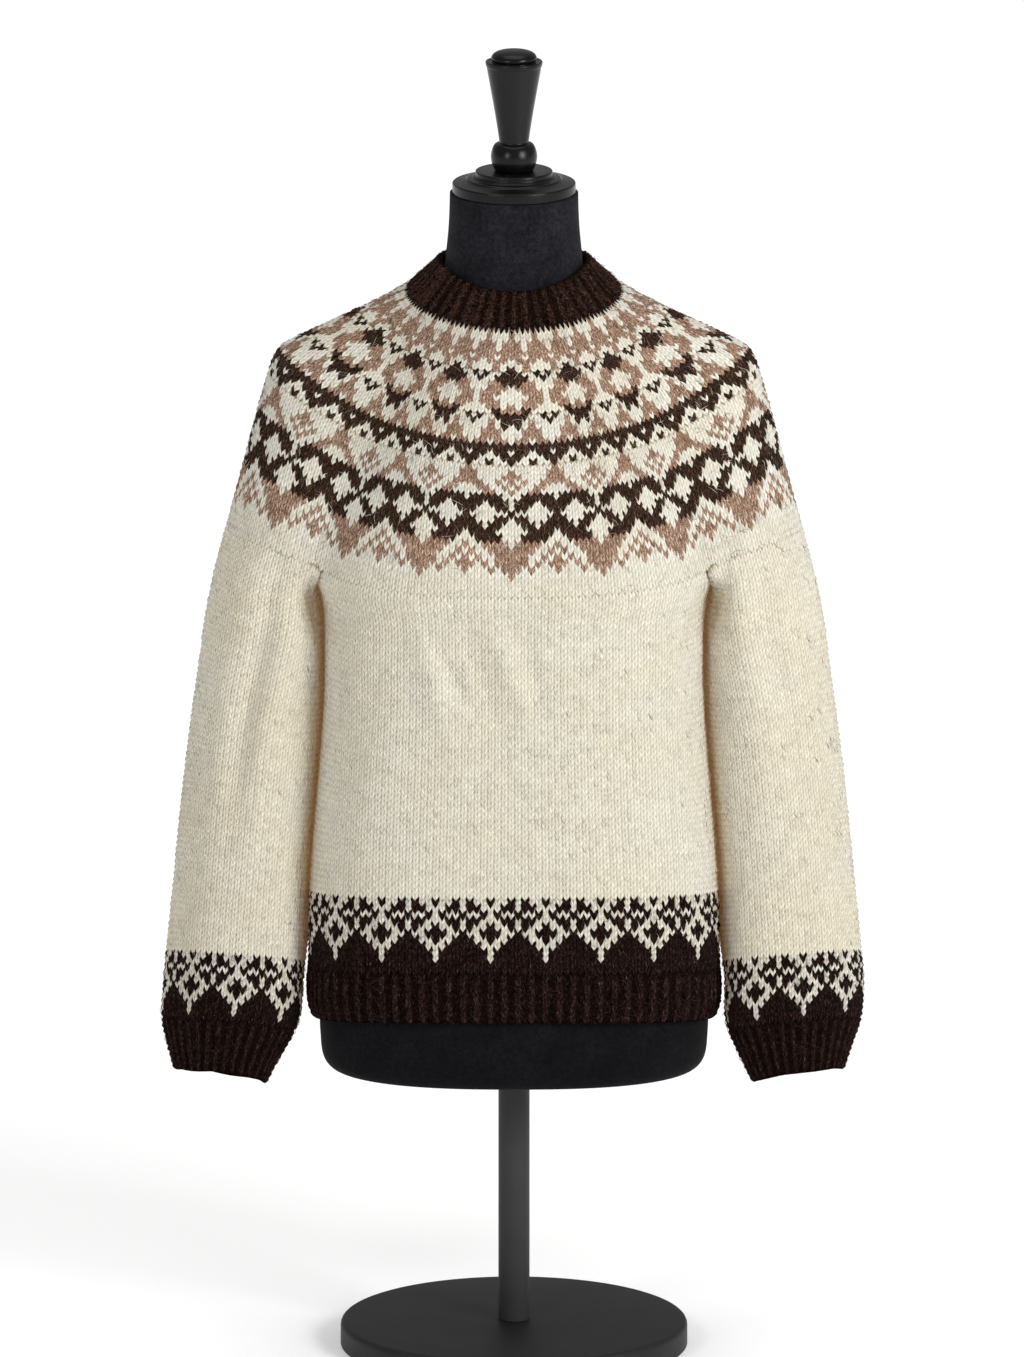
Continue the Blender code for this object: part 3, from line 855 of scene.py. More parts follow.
@dataclass(frozen=True)
class Fibres:
    """Loose hairs on a knit, each a thin three-sided tube bowed out of it.

    Attributes:
        count: number of hairs.
        dyes: yarns that they come from.
        lighter: factor by which a hair is lighter than its yarn.
        length: shortest and longest.
        radius: radius of the root.
        lift: height of both ends above the fabric.
        rise: greatest height of the bow over that.
        free: height to which a loose end stands up.
        free_share: share of the hairs with a loose end.
        bend: spread of the sideways bend, as a share of the length.
    """

    count: int
    dyes: tuple[Dye, ...]
    lighter: float = 1.0
    length: tuple[float, float] = (5 * MM, 12 * MM)
    radius: float = 0.12 * MM
    lift: float = 0.5 * MM
    rise: float = 1.2 * MM
    free: float = 2.4 * MM
    free_share: float = 0.3
    bend: float = 0.5

    TAPER = (1.0, 1.0, 0.4)
    LIGHTEST = 0.85

    def mesh(self, name: str, tube: KnitTube) -> bpy.types.Mesh:
        """The hairs of one tube, strewn over its outer face.

        A hair is P + T * L * (t - 1/2) + S * L * bend * (t^2 - t) + N * (lift + 4 * rise * t(1 - t) + free * t^2),
        with t from 0 to 1, N the fabric's normal, T the hair's heading, and S = N x T.

        Args:
            name: name of the mesh.
            tube: what they grow on.

        Returns:
            The mesh.
        """
        rng = np.random.default_rng(SEED + self.count)
        rows = rows_of(tube.courses)
        side = 2 * int(math.sqrt(self.count))
        lines = tube.first_row + np.sort(rng.uniform(0.4, rows - 0.4, side))
        spots, normals = tube.fabric.at(lines, rng.uniform(0, tube.fabric.columns, side))
        pick = rng.choice(side * side, self.count, replace=False)
        spot, normal = spots.reshape(-1, 3)[pick, None], normals.reshape(-1, 3)[pick, None]
        heading = np.cross(normal, rng.normal(size=spot.shape))
        heading /= np.linalg.norm(heading, axis=2)[..., None]
        aside = np.cross(normal, heading)
        t = np.linspace(0, 1, len(self.TAPER))[None, :, None]
        length, rise, bend = rng.uniform(size=(3, self.count, 1, 1))
        length = self.length[0] + (self.length[1] - self.length[0]) * length
        bend = self.bend * (2 * bend - 1)
        free = self.free * (rng.uniform(size=(self.count, 1, 1)) < self.free_share)
        path = spot + heading * length * (t - 0.5) + aside * length * bend * (t**2 - t)
        path = path + normal * (self.lift + 4 * self.rise * rise * t * (1 - t) + free * t**2)
        angle = np.arange(3) * math.tau / 3
        outline = normal[:, :, None] * np.cos(angle)[:, None] + aside[:, :, None] * np.sin(angle)[:, None]
        points = path[:, :, None] + self.radius * np.array(self.TAPER)[None, :, None, None] * outline
        ids = np.arange(points.shape[0] * points.shape[1] * 3).reshape(points.shape[:3])
        turned = np.roll(ids, -1, axis=2)
        quads = np.stack([ids[:, :-1], ids[:, 1:], turned[:, 1:], turned[:, :-1]], axis=3).reshape(-1, 4)
        caps = np.concatenate([ids[:, 0], ids[:, -1, ::-1]])
        dyes = np.array([dye.value for dye in self.dyes])[rng.integers(len(self.dyes), size=self.count)]
        dyes[:, :3] = np.minimum(dyes[:, :3] * self.lighter, self.LIGHTEST)
        stack = RingStack()
        stack.points.append(points.reshape(-1, 3))
        stack.reliefs.append(np.full(ids.size, 1 * MM))
        stack.add_faces(quads, np.repeat(dyes, len(quads) // self.count, axis=0), np.zeros((len(quads), 4, 2)))
        stack.add_faces(caps, np.tile(dyes, (2, 1)), np.zeros((len(caps), 3, 2)))
        return stack.mesh(name)


# ---- materials
Socket = bpy.types.NodeSocket
WHITE = (1.0, 1.0, 1.0)
BLACK = (0.0, 0.0, 0.0)


def scaled(colour: Triple, factor: float) -> Triple:
    """A colour made lighter or darker by a factor."""
    return tuple(factor * part for part in colour)


class Graph:
    """One material's nodes, wired up in few words."""

    SHEEN_ROUGHNESS = 0.5

    def __init__(self, name: str) -> None:
        """Starts a material with an output and a Principled shader.

        Args:
            name: its name.
        """
        self.material = bpy.data.materials.new(name)
        self.material.use_nodes = True
        self.tree = self.material.node_tree
        self.shader = self.tree.nodes["Principled BSDF"]

    def _plug(self, socket: Socket, value: object) -> None:
        """Links a socket to another's output, or sets it to a plain value.

        Args:
            socket: the input.
            value: an output's socket or a plain value.
        """
        if isinstance(value, Socket):
            self.tree.links.new(value, socket)
        else:
            socket.default_value = value

    def node(self, kind: str, inputs: dict | None = None, **settings: object) -> bpy.types.Node:
        """Adds a node.

        Args:
            kind: its type.
            inputs: sockets to link or plain values, under the names or numbers of its inputs.
            settings: its own choices.

        Returns:
            The node.
        """
        made = self.tree.nodes.new(kind)
        for key, value in settings.items():
            setattr(made, key, value)
        for key, value in (inputs or {}).items():
            self._plug(made.inputs[key], value)
        return made

    def math(self, operation: str, *values: object) -> Socket:
        """One step of arithmetic."""
        return self.node("ShaderNodeMath", dict(enumerate(values)), operation=operation).outputs[0]

    def swing(self, total: object, value: Socket, contrast: float) -> Socket:
        """Total + contrast * (value - 0.5), for a value near 0.5."""
        return self.math("MULTIPLY_ADD", self.math("SUBTRACT", value, 0.5), contrast, total)

    def around_one(self, value: Socket, contrast: float) -> Socket:
        """Turns a value near 0.5 into a factor near 1: 1 + contrast * (value - 0.5)."""
        return self.math("MULTIPLY_ADD", value, contrast, 1 - contrast / 2)

    def smooth_step(self, value: Socket, low: float, high: float) -> Socket:
        """0 below low, 1 above high, and smooth between."""
        inputs = {"Value": value, "From Min": low, "From Max": high}
        return self.node("ShaderNodeMapRange", inputs, interpolation_type="SMOOTHSTEP").outputs[0]

    def noise(self, vector: Socket, scale: float, detail: float, rough: float = 0.5) -> Socket:
        """Value noise, near 0.5."""
        inputs = {"Vector": vector, "Scale": scale, "Detail": detail, "Roughness": rough}
        return self.node("ShaderNodeTexNoise", inputs).outputs["Fac"]

    def mix(self, share: object, first: object, second: object, blend: str = "MIX") -> Socket:
        """Blend of two colours.

        Args:
            share: share of the second, a number or a socket.
            first: a colour or a socket.
            second: a colour or a socket.
            blend: way of blending.

        Returns:
            The blended colour's socket.
        """
        made = self.node("ShaderNodeMix", data_type="RGBA", blend_type=blend)
        factor, *colours = (made.inputs[number] for number in (0, 6, 7))
        self._plug(factor, share)
        for socket, value in zip(colours, (first, second)):
            self._plug(socket, value if isinstance(value, Socket) else (*value, 1.0))
        return made.outputs[2]

    def times(self, first: object, second: object) -> Socket:
        """Product of two colours."""
        return self.mix(1.0, first, second, "MULTIPLY")

    def place(self) -> Socket:
        """The piece's own coordinates."""
        return self.node("ShaderNodeTexCoord").outputs["Object"]

    def split(self, vector: Socket) -> bpy.types.NodeOutputs:
        """The three parts of a vector."""
        return self.node("ShaderNodeSeparateXYZ", {"Vector": vector}).outputs

    def join(self, *parts: object) -> Socket:
        """A vector of three parts."""
        return self.node("ShaderNodeCombineXYZ", dict(enumerate(parts))).outputs[0]

    def feed(self, name: str, value: object) -> None:
        """Sets or links one of the shader's sockets."""
        self._plug(self.shader.inputs[name], value)

    def surface(self, colour: Socket, roughness: object, specular: float, sheen: float = 0.0) -> None:
        """Feeds the shader.

        Args:
            colour: base colour.
            roughness: a number or a socket.
            specular: level of the mirror reflection.
            sheen: light that a nap catches.
        """
        self.feed("Base Color", colour)
        self.feed("Roughness", roughness)
        self.feed("Specular IOR Level", specular)
        if sheen:
            self.feed("Sheen Weight", sheen)
            self.feed("Sheen Roughness", self.SHEEN_ROUGHNESS)

    def glow(self, colour: Socket, strength: float) -> None:
        """Lets the surface give off light."""
        self.feed("Emission Color", colour)
        self.feed("Emission Strength", strength)

    def bump(self, height: Socket, distance: float, strength: float = 1.0) -> None:
        """Raises the shading by a height of the given size in metres."""
        inputs = {"Height": height, "Distance": distance, "Strength": strength}
        self.feed("Normal", self.node("ShaderNodeBump", inputs).outputs["Normal"])


class Finish:
    """A finish that paints materials."""

    def material(self, name: str) -> Material:
        """A material in this finish.

        Args:
            name: its name.

        Returns:
            The material.
        """
        graph = Graph(name)
        self.paint(graph, graph.place())
        return graph.material


@dataclass(frozen=True)
class Wool(Finish):
    """Lightly spun wool: mottled strands along each leg, painted warm shade in the grooves, a painted glow in
    closed hollows, and a little sheen.

    Attributes:
        strand: contrast of the strands along the legs.
        tuft: contrast of spots about half a stitch across.
        fibre: contrast of single fibres.
        crest_shade: contrast of painted shade between what stands out and what lies deep.
        patch: contrast of the broad patches.
        fade: powers that turn a dark spot warmer as well as darker, on darker yarn and painted shade alike.
        warm: tint of the yellower skeins.
        cool: tint of the whiter skeins.
        groove_shade: painted shade, a warm colour by which the bottom of the grooves is multiplied.
        through: colour of a painted glow in a closed hollow, for light that bounces in the wool and comes through it.
        twists: turns of the yarn on one leg.
        roughness: of the surface.
        specular: level of its mirror reflection.
        sheen: light that the surface hairs catch.
        relief: height of strands, twist and fibres together, in metres.
    """

    strand: float = 3.5
    tuft: float = 0.8
    fibre: float = 2.4
    crest_shade: float = 0.28
    patch: float = 0.02
    fade: Triple = (1.0, 1.12, 1.30)
    warm: Triple = (0.99, 0.972, 0.925)
    cool: Triple = (1.00, 0.998, 0.990)
    groove_shade: Triple = (0.60, 0.52, 0.40)
    through: Triple = (0.120, 0.066, 0.030)
    twists: float = 2.5
    roughness: float = 0.95
    specular: float = 0.022
    sheen: float = 0.009
    relief: float = 0.42 * MM

    # noises: scale, detail and, on some, roughness
    STRAND_GRAIN = (1.0, 2.0, 0.6)
    FIBRE_GRAIN = (1300.0, 2.0, 0.7)
    TUFT_GRAIN = (480.0, 2.0, 0.6)
    PATCH_GRAIN = (24.0, 2.0)
    SKEIN_GRAIN = (17.0, 2.0)
    # steps of the strands' noise: across a leg, down a row, and from one stitch to the next
    STRAND_STEPS = (7.0, 1.4, 7.3)
    LEG_SLOPE = 0.25
    SKEIN_RANGE = (0.36, 0.64)
    # relief over which the painted shade rises from groove to crest; size, range and samples of the occlusion that
    # sets where the painted glow shows
    RELIEF_SHADE_RANGE = (-1.3 * MM, 0.7 * MM)
    HOLLOW_SIZE = 0.04
    HOLLOW_RANGE = (0.45, 1.0)
    HOLLOW_SAMPLES = 4
    # how strands and twist count in the relief, and how the twist slants down a row
    STRAND_RISE, TWIST_RISE, TWIST_SLANT = 1.2, 0.35, 5.0

    def paint(self, graph: Graph, place: Socket) -> None:
        """Reads the dye, the relief and the stitch of each face.

        Strands are noise stretched along each leg: across it runs |u - 1/2| + v / 4, which stays the
        same along a strand. Brightness is e to the power of mottling times the sum of the noises and of a
        painted shade that is darker where the relief lies deep. The twist is a sine across the leg.

        Args:
            graph: the material's nodes.
            place: the piece's own coordinates.
        """
        yarn = graph.node("ShaderNodeAttribute", attribute_name="dye").outputs
        relief = graph.node("ShaderNodeAttribute", attribute_name="relief").outputs["Fac"]
        wale, row, _ = graph.split(graph.node("ShaderNodeUVMap", uv_map="stitch").outputs["UV"])
        side = graph.math("SUBTRACT", graph.math("FRACT", wale), 0.5)
        leg, within = graph.math("ABSOLUTE", side), graph.math("FRACT", row)
        step_across, step_down, step_round = self.STRAND_STEPS
        across = graph.math("MULTIPLY", graph.math("MULTIPLY_ADD", within, self.LEG_SLOPE, leg), step_across)
        which = graph.math("MULTIPLY_ADD", graph.math("FLOOR", wale), step_round, graph.math("SIGN", side))
        run = graph.join(across, graph.math("MULTIPLY", row, step_down), which)
        strands = graph.noise(run, *self.STRAND_GRAIN)
        fibres = graph.noise(place, *self.FIBRE_GRAIN)
        # 0 at the bottom of a groove and 1 on a crest: where the painted shade falls
        depth = graph.smooth_step(relief, *self.RELIEF_SHADE_RANGE)
        total = graph.swing(0.0, strands, self.strand)
        total = graph.swing(total, graph.noise(place, *self.TUFT_GRAIN), self.tuft)
        # the crest term is painted shade: what lies deep is darker, what stands out is lighter
        total = graph.swing(graph.swing(total, fibres, self.fibre), depth, self.crest_shade)
        light = graph.math("POWER", math.e, graph.math("MULTIPLY", total, yarn["Alpha"]))
        patches = graph.around_one(graph.noise(place, *self.PATCH_GRAIN), self.patch)
        light = graph.math("MULTIPLY", light, patches)
        shade = graph.join(*(graph.math("POWER", light, power) for power in self.fade))
        skein = graph.smooth_step(graph.noise(place, *self.SKEIN_GRAIN), *self.SKEIN_RANGE)
        colour = graph.times(yarn["Color"], graph.mix(skein, self.warm, self.cool))
        # painted shade: the bottom of the grooves darkened and warmed
        colour = graph.times(graph.times(colour, shade), graph.mix(depth, self.groove_shade, WHITE))
        graph.surface(colour, self.roughness, self.specular, self.sheen)
        # painted warm glow in closed hollows, for light that bounces in the wool and comes through it
        graph.glow(graph.times(graph.times(colour, self.through), self._hollow_glow(graph)), 1.0)
        slant = graph.math("MULTIPLY", within, self.TWIST_SLANT)
        phase = graph.math("MULTIPLY_ADD", leg, 4 * math.pi * self.twists, slant)
        twist = graph.math("MULTIPLY_ADD", graph.math("SINE", phase), 0.5, 0.5)
        height = graph.math("MULTIPLY_ADD", twist, self.TWIST_RISE, fibres)
        graph.bump(graph.math("MULTIPLY_ADD", strands, self.STRAND_RISE, height), self.relief)

    def _hollow_glow(self, graph: Graph) -> Socket:
        """Where the painted glow shows: a grey that is 0 on an open face and 1 in a hollow that is shut all round.

        Args:
            graph: the material's nodes.

        Returns:
            The grey's socket.
        """
        sky = graph.node("ShaderNodeAmbientOcclusion", {"Distance": self.HOLLOW_SIZE}, samples=self.HOLLOW_SAMPLES)
        shut = graph.smooth_step(graph.math("SUBTRACT", 1.0, sky.outputs["AO"]), *self.HOLLOW_RANGE)
        return graph.join(shut, shut, shut)


@dataclass(frozen=True)
class FormCloth(Finish):
    """Black felt-like jersey stretched over the dress form, with painted shade that deepens its black low down.

    Attributes:
        colour: mean colour.
        foot_shade_share: share of the colour that the painted shade leaves low down, where the sweater shades the
            form.
        heights: heights between which the painted shade deepens it, in metres.
        roughness: of the surface.
        specular: level of its mirror reflection.
        sheen: light that the nap catches.
        relief: height of the nap, in metres.
        strength: share of the nap that the shading shows.
    """

    colour: Triple = (0.0094, 0.0088, 0.0116)
    foot_shade_share: float = 0.25
    heights: tuple[float, float] = (0.2, 0.6)
    roughness: float = 0.95
    specular: float = 0.08
    sheen: float = 0.03
    relief: float = 0.25 * MM
    strength: float = 0.7

    NAP_GRAIN, NAP = (900.0, 4.0, 0.65), 2.6
    CLUMPS = (
        # noise, contrast
        ((240.0, 3.0, 0.7), 2.8),
        ((40.0, 3.0), 1.4),
    )

    def paint(self, graph: Graph, place: Socket) -> None:
        """Nap and clumps, with painted shade that darkens the colour low down.

        Args:
            graph: the material's nodes.
            place: the piece's own coordinates.
        """
        nap = graph.noise(place, *self.NAP_GRAIN)
        share = graph.around_one(nap, self.NAP)
        for grain, contrast in self.CLUMPS:
            share = graph.math("MULTIPLY", share, graph.around_one(graph.noise(place, *grain), contrast))
        # painted shade: darker towards the bottom, where the sweater shades the form
        high = graph.smooth_step(graph.split(place)[2], *self.heights)
        share = graph.math("MULTIPLY", share, graph.math("MULTIPLY_ADD", high, 1 - self.foot_shade_share, self.foot_shade_share))
        colour = graph.mix(graph.math("MULTIPLY", share, 0.5), BLACK, scaled(self.colour, 2.0))
        graph.surface(colour, self.roughness, self.specular, self.sheen)
        graph.bump(nap, self.relief, self.strength)


@dataclass(frozen=True)
class HardCoat(Finish):
    """A hard coat with faint paler clouds and a fine grain.

    Attributes:
        colour: where it is darkest.
        pale: factor by which the clouds are lighter.
        clouds: their noise: scale, detail and roughness.
        roughness: least, and what the clouds add to it.
        specular: level of its mirror reflection.
        relief: height of the grain, in metres.
        strength: share of the grain that the shading shows.
    """

    colour: Triple
    pale: float
    clouds: Triple
    roughness: tuple[float, float]
    specular: float
    relief: float
    strength: float

    GRAIN = (1300.0, 2.0)

    def grain(self, graph: Graph, place: Socket) -> Socket:
        """Height of the grain."""
        return graph.noise(place, *self.GRAIN)

    def paint(self, graph: Graph, place: Socket) -> None:
        """Clouds and grain.

        Args:
            graph: the material's nodes.
            place: the piece's own coordinates.
        """
        cloud = graph.noise(place, *self.clouds)
        least, more = self.roughness
        colour = graph.mix(cloud, self.colour, scaled(self.colour, self.pale))
        graph.surface(colour, graph.math("MULTIPLY_ADD", cloud, more, least), self.specular)
        graph.bump(self.grain(graph, place), self.relief, self.strength)


@dataclass(frozen=True)
class PowderCoat(HardCoat):
    """Fine-grained black powder coat on steel."""

    pale: float = 1.5
    clouds: Triple = (30.0, 3.0, 0.5)
    roughness: tuple[float, float] = (0.49, 0.12)
    specular: float = 0.22
    relief: float = 0.08 * MM
    strength: float = 0.6


@dataclass(frozen=True)
class Lacquer(HardCoat):
    """Black satin lacquer on turned wood, with faint tool marks."""

    colour: Triple = (0.0022, 0.0022, 0.0026)
    pale: float = 1.6
    clouds: Triple = (60.0, 4.0, 0.6)
    roughness: tuple[float, float] = (0.20, 0.16)
    specular: float = 0.20
    relief: float = 0.05 * MM
    strength: float = 0.5

    GRAIN = (400.0, 2.0)
    RINGS = (900.0, 2.0)

    def grain(self, graph: Graph, place: Socket) -> Socket:
        """Height of the brush marks, with the rings that turning leaves half as high."""
        rings = graph.noise(graph.join(0.0, 0.0, graph.split(place)[2]), *self.RINGS)
        return graph.math("MULTIPLY_ADD", rings, 0.5, graph.noise(place, *self.GRAIN))


@dataclass(frozen=True)
class FloorPaint(Finish):
    """Plain pale floor of a cyclorama, with a painted glow that is weaker near the middle.

    Attributes:
        colour: where it is palest.
        cloud: factor of its darker clouds.
        roughness: of the surface.
        specular: level of its mirror reflection.
        glow: strength of the painted glow.
        near: colour of the painted glow near the middle.
        reach: distances between which it turns white, in metres.
    """

    colour: Triple = (0.93, 0.93, 0.93)
    cloud: float = 0.99
    roughness: float = 0.95
    specular: float = 0.1
    glow: float = 0.32
    near: Triple = (0.45, 0.45, 0.45)
    reach: tuple[float, float] = (0.3, 2.5)

    CLOUD_GRAIN = (3.0, 2.0)

    def paint(self, graph: Graph, place: Socket) -> None:
        """Clouds, and a painted glow.

        Args:
            graph: the material's nodes.
            place: the piece's own coordinates.
        """
        cloud = graph.noise(place, *self.CLOUD_GRAIN)
        graph.surface(graph.mix(cloud, scaled(self.colour, self.cloud), self.colour), self.roughness, self.specular)
        away = graph.node("ShaderNodeVectorMath", {0: place}, operation="LENGTH").outputs["Value"]
        # painted glow of the floor, weaker near the middle
        graph.glow(graph.mix(graph.smooth_step(away, *self.reach), self.near, WHITE), self.glow)


# ---- pieces and their place in the frame
def linked(name: str, data: bpy.types.ID) -> bpy.types.Object:
    """A new object in the scene, at the origin.

    Args:
        name: its name.
        data: its mesh, light or camera.

    Returns:
        The object.
    """
    made = bpy.data.objects.new(name, data)
    bpy.context.scene.collection.objects.link(made)
    return made


def solid_mesh(name: str, points: Array) -> bpy.types.Mesh:
    """A smooth mesh through rings, closed at both ends.

    Args:
        name: name of the mesh.
        points: the rings from the top down, shape (r, n, 3).

    Returns:
        The mesh.
    """
    rings, count = points.shape[:2]
    stack = RingStack()
    lines = np.arange(rings).astype(float)
    stack.grid(points, np.zeros((rings, count)), np.ones((rings - 1, count, 4)), count, lines)
    stack.cap_ends()
    return stack.mesh(name)


def add_piece(
    name: str, mesh: bpy.types.Mesh, material: Material, nodes: tuple[str, ...] = ()
) -> bpy.types.Object:
    """Links a mesh as a piece that rides on the one body.

    Args:
        name: name of the piece.
        mesh: its mesh, in the frame's own place.
        material: its finish.
        nodes: CAD nodes that it stands for.

    Returns:
        The piece.
    """
    mesh.materials.append(material)
    made = linked(name, mesh)
    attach(made, ROOT)
    if nodes:
        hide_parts(*nodes)
    LOG.info("%s: %d faces", name, len(mesh.polygons))
    return made


def add_knit(tube: KnitTube, material: Material, fibres: Fibres) -> None:
    """Builds a knitted tube and its hairs, stands it in for its CAD node and logs its flat size.

    Args:
        tube: the tube, named after its node.
        material: finish of both.
        fibres: the hairs on it.
    """
    made = add_piece(tube.name, tube.build(), material, (tube.name.replace("_knit", ""),))
    name = tube.name.replace("_knit", "_fibres")
    hairs = add_piece(name, fibres.mesh(name, tube), material)
    girth, length, area = tube.fabric.cut(tube.first_row, tube.first_row + rows_of(tube.courses))
    area = min(area, girth * length)
    LOG.info("%s: flat %.3f x %.3f m, %.4f square metres", tube.name, girth, length, area)


# ---- the garment's form
@dataclass(frozen=True)
class GarmentForm:
    """The rings that all the knitted pieces share, as in the plain solids.

    Attributes hold lengths in metres, and stitch counts of the underarm ring.
    """

    front_stitches: int = 64
    sleeve_stitches: int = 48
    underarm_stitches: int = 20
    step: int = 4
    underarm_columns: int = 4
    half_width: float = 0.176
    front_depth: float = 0.125
    back_depth: float = 0.118
    body_power: float = 2.8
    corner_depth: float = 0.062
    corner_z: float = 0.714
    front_z: float = 0.7063
    back_z: float = 0.712
    dip: float = 0.004
    arm_x: float = 0.185
    arm_half_width: float = 0.069
    arm_half_depth: float = 0.066
    arm_half_turn: float = math.radians(105)
    arm_outer_z: float = 0.741
    corner_softness: int = 5
    seam_follow: float = 0.006
    samples: int = 321

    NECK = (0.095, (-0.087, -0.0085, 0.078), (0.936, 0.956, 0.964))
    COLLAR = (0.066, (-0.068, -0.001, 0.0695), (0.968, 0.984, 0.977))
    # sample of the yoke that gives its slope at the neck, and share of the collar's height led along it
    COLLAR_LEAD_FROM = 4
    COLLAR_LEAD = 0.35
    SHOULDER = (
        # bearing   width    y        z      softness
        (0.00, 0.2020, -0.1053, 0.885, 0.089),
        (51.43, 0.1846, -0.0770, 0.842, 0.081),
        (90.00, 0.2105, 0.0000, 0.904, 0.011),
        (128.57, 0.1846, 0.0750, 0.850, 0.081),
        (180.00, 0.2020, 0.0960, 0.900, 0.089),
    )
    BODY_FRONT = 0.124
    BODY_BACK = 0.118
    BODY = (
        # side z    width    front    back
        (0.692, 0.1715, -0.0060, -0.0020),
        (0.655, 0.1680, -0.0030, -0.0028),
        (0.605, 0.1682, 0.0020, -0.0040),
        (0.545, 0.1720, 0.0070, -0.0055),
        (0.480, 0.1775, 0.0125, -0.0075),
        (0.416, 0.1820, 0.0180, -0.0100),
        (0.375, 0.1828, 0.0190, -0.0107),
        (0.330, 0.1825, 0.0205, -0.0115),
        (0.308, 0.1805, 0.0215, -0.0120),
        (0.300, 0.1775, 0.0220, -0.0120),
    )
    BODY_RINGS_ABOVE_HEM = 7
    SLEEVE = (
        # inner z   inner x  outer z  outer x  depth    forward  rise
        (0.690, 0.1735, 0.716, 0.2595, 0.0650, 0.0000, 0.04),
        (0.652, 0.1705, 0.673, 0.2680, 0.0635, 0.0010, 0.08),
        (0.602, 0.1710, 0.619, 0.2770, 0.0610, 0.0030, 0.12),
        (0.542, 0.1745, 0.556, 0.2858, 0.0590, 0.0055, 0.16),
        (0.478, 0.1800, 0.492, 0.2934, 0.0575, 0.0085, 0.20),
        (0.414, 0.1845, 0.427, 0.2996, 0.0570, 0.0115, 0.23),
        (0.352, 0.1865, 0.3615, 0.3062, 0.0570, 0.0150, 0.25),
        (0.328, 0.1865, 0.3390, 0.3080, 0.0570, 0.0155, 0.25),
        (0.304, 0.1875, 0.3160, 0.3088, 0.0555, 0.0160, 0.25),
        (0.2855, 0.1930, 0.2975, 0.3070, 0.0510, 0.0160, 0.25),
        (0.2665, 0.2025, 0.2785, 0.3015, 0.0455, 0.0155, 0.25),
        (0.2430, 0.2140, 0.2553, 0.2948, 0.0415, 0.0150, 0.25),
    )
    SLEEVE_RINGS_ABOVE_CUFF = 8
    SLEEVE_MIDDLE = 0.42
    INNER_FLATNESS = 3.2
    SLEEVE_CLEARANCE = 0.0018
    ELBOW = 0.5
    # points on the dense curves that rings are taken from
    ARC_POINTS = 401
    BODY_POINTS = 1601
    SLEEVE_POINTS = 1201

    @property
    def yoke_stitches(self) -> int:
        """Stitches of the underarm ring."""
        return 2 * (self.front_stitches + self.sleeve_stitches)

    @property
    def body_stitches(self) -> int:
        """Stitches round the body."""
        return 2 * (self.front_stitches + self.underarm_stitches)

    @property
    def yoke_columns(self) -> int:
        """Columns of the coarse rings."""
        return self.yoke_stitches // self.step

    @property
    def corner_column(self) -> int:
        """Column on which the front meets the sleeve."""
        return self.front_stitches // 2 // self.step

    @property
    def sleeve_columns(self) -> int:
        """Columns of the sleeve's part of the yoke."""
        return self.sleeve_stitches // self.step

    def _chest_arc(self, depth: float, middle_z: float, facing: int) -> Array:
        """Evenly spaced arc from the -X corner to the +X corner.

        Args:
            depth: depth of the arc.
            middle_z: its height at the centre line.
            facing: 1 in front, -1 behind.

        Returns:
            Points, shape (front stitches + 1, 3).
        """
        corner = math.acos((self.corner_depth / depth) ** (self.body_power / 2))
        angle = np.linspace(-corner, corner, self.ARC_POINTS)
        arc = superellipse(self.half_width, depth, depth, self.body_power, angle)
        share = (arc[:, 0] / arc[-1, 0]) ** 2
        arc[:, 1] *= facing
        arc[:, 2] = middle_z + (self.corner_z - middle_z) * share
        return evenly(arc, self.front_stitches)

    def _arm_arc(self) -> Array:
        """Evenly spaced arc over the +X arm, from the front corner to the back corner.

        Returns:
            Points, shape (sleeve stitches + 1, 3).
        """
        angle = np.linspace(-self.arm_half_turn, self.arm_half_turn, self.ARC_POINTS)
        x = self.arm_x + self.arm_half_width * np.cos(angle)
        outer = self.arm_x + self.arm_half_width
        inward = (outer - x) / (outer - x[0])
        z = self.corner_z + (self.arm_outer_z - self.corner_z) * (1 - inward**2)
        return evenly(np.stack([x, self.arm_half_depth * np.sin(angle), z], axis=1), self.sleeve_stitches)

    def underarm_ring(self) -> Array:
        """The ring where yoke, body and sleeves meet, its corners rounded by a raised-cosine mean.

        Returns:
            Points, shape (yoke stitches, 3).
        """
        front = self._chest_arc(self.front_depth, self.front_z, 1)
        back = self._chest_arc(self.back_depth, self.back_z, -1)[::-1]
        arm = self._arm_arc()
        half = self.front_stitches // 2
        parts = (front[half:-1], arm[:-1], back[:-1], (arm[::-1] * (-1, 1, 1))[:-1], front[:half])
        ring = np.concatenate(parts)
        offsets = np.arange(-self.corner_softness, self.corner_softness + 1)
        weights = 1 + np.cos(math.pi * offsets / (self.corner_softness + 1))
        moved = [weight * np.roll(ring, -offset, axis=0) for offset, weight in zip(offsets, weights)]
        return np.sum(moved, axis=0) / weights.sum()

    def threads(self) -> Array:
        """Dense points down each column of the yoke, samples x columns x 3.

        Each thread runs straight from the neck to the shoulder ring, bends, and runs straight to the
        underarm; the bend is the soft ramp (d + sqrt(d^2 + softness^2)) / 2 of the distance past it.

        Returns:
            Points, shape (samples, yoke columns, 3).
        """
        bearing = bearings(self.yoke_columns)
        table = np.array(self.SHOULDER)
        width, y, z, softness = (
            cosine_series(np.radians(table[:, 0]), table[:, column], bearing) for column in range(1, 5)
        )
        shoulder = np.stack([np.sin(bearing) * width, y, z], axis=1)
        neck = egg_ring(*self.NECK, self.yoke_columns)
        foot = self.underarm_ring()[:: self.step]
        upper = np.linalg.norm(shoulder - neck, axis=1)
        lower = np.linalg.norm(foot - shoulder, axis=1)
        travel = np.linspace(0, 1, self.samples)[:, None] * (upper + lower)

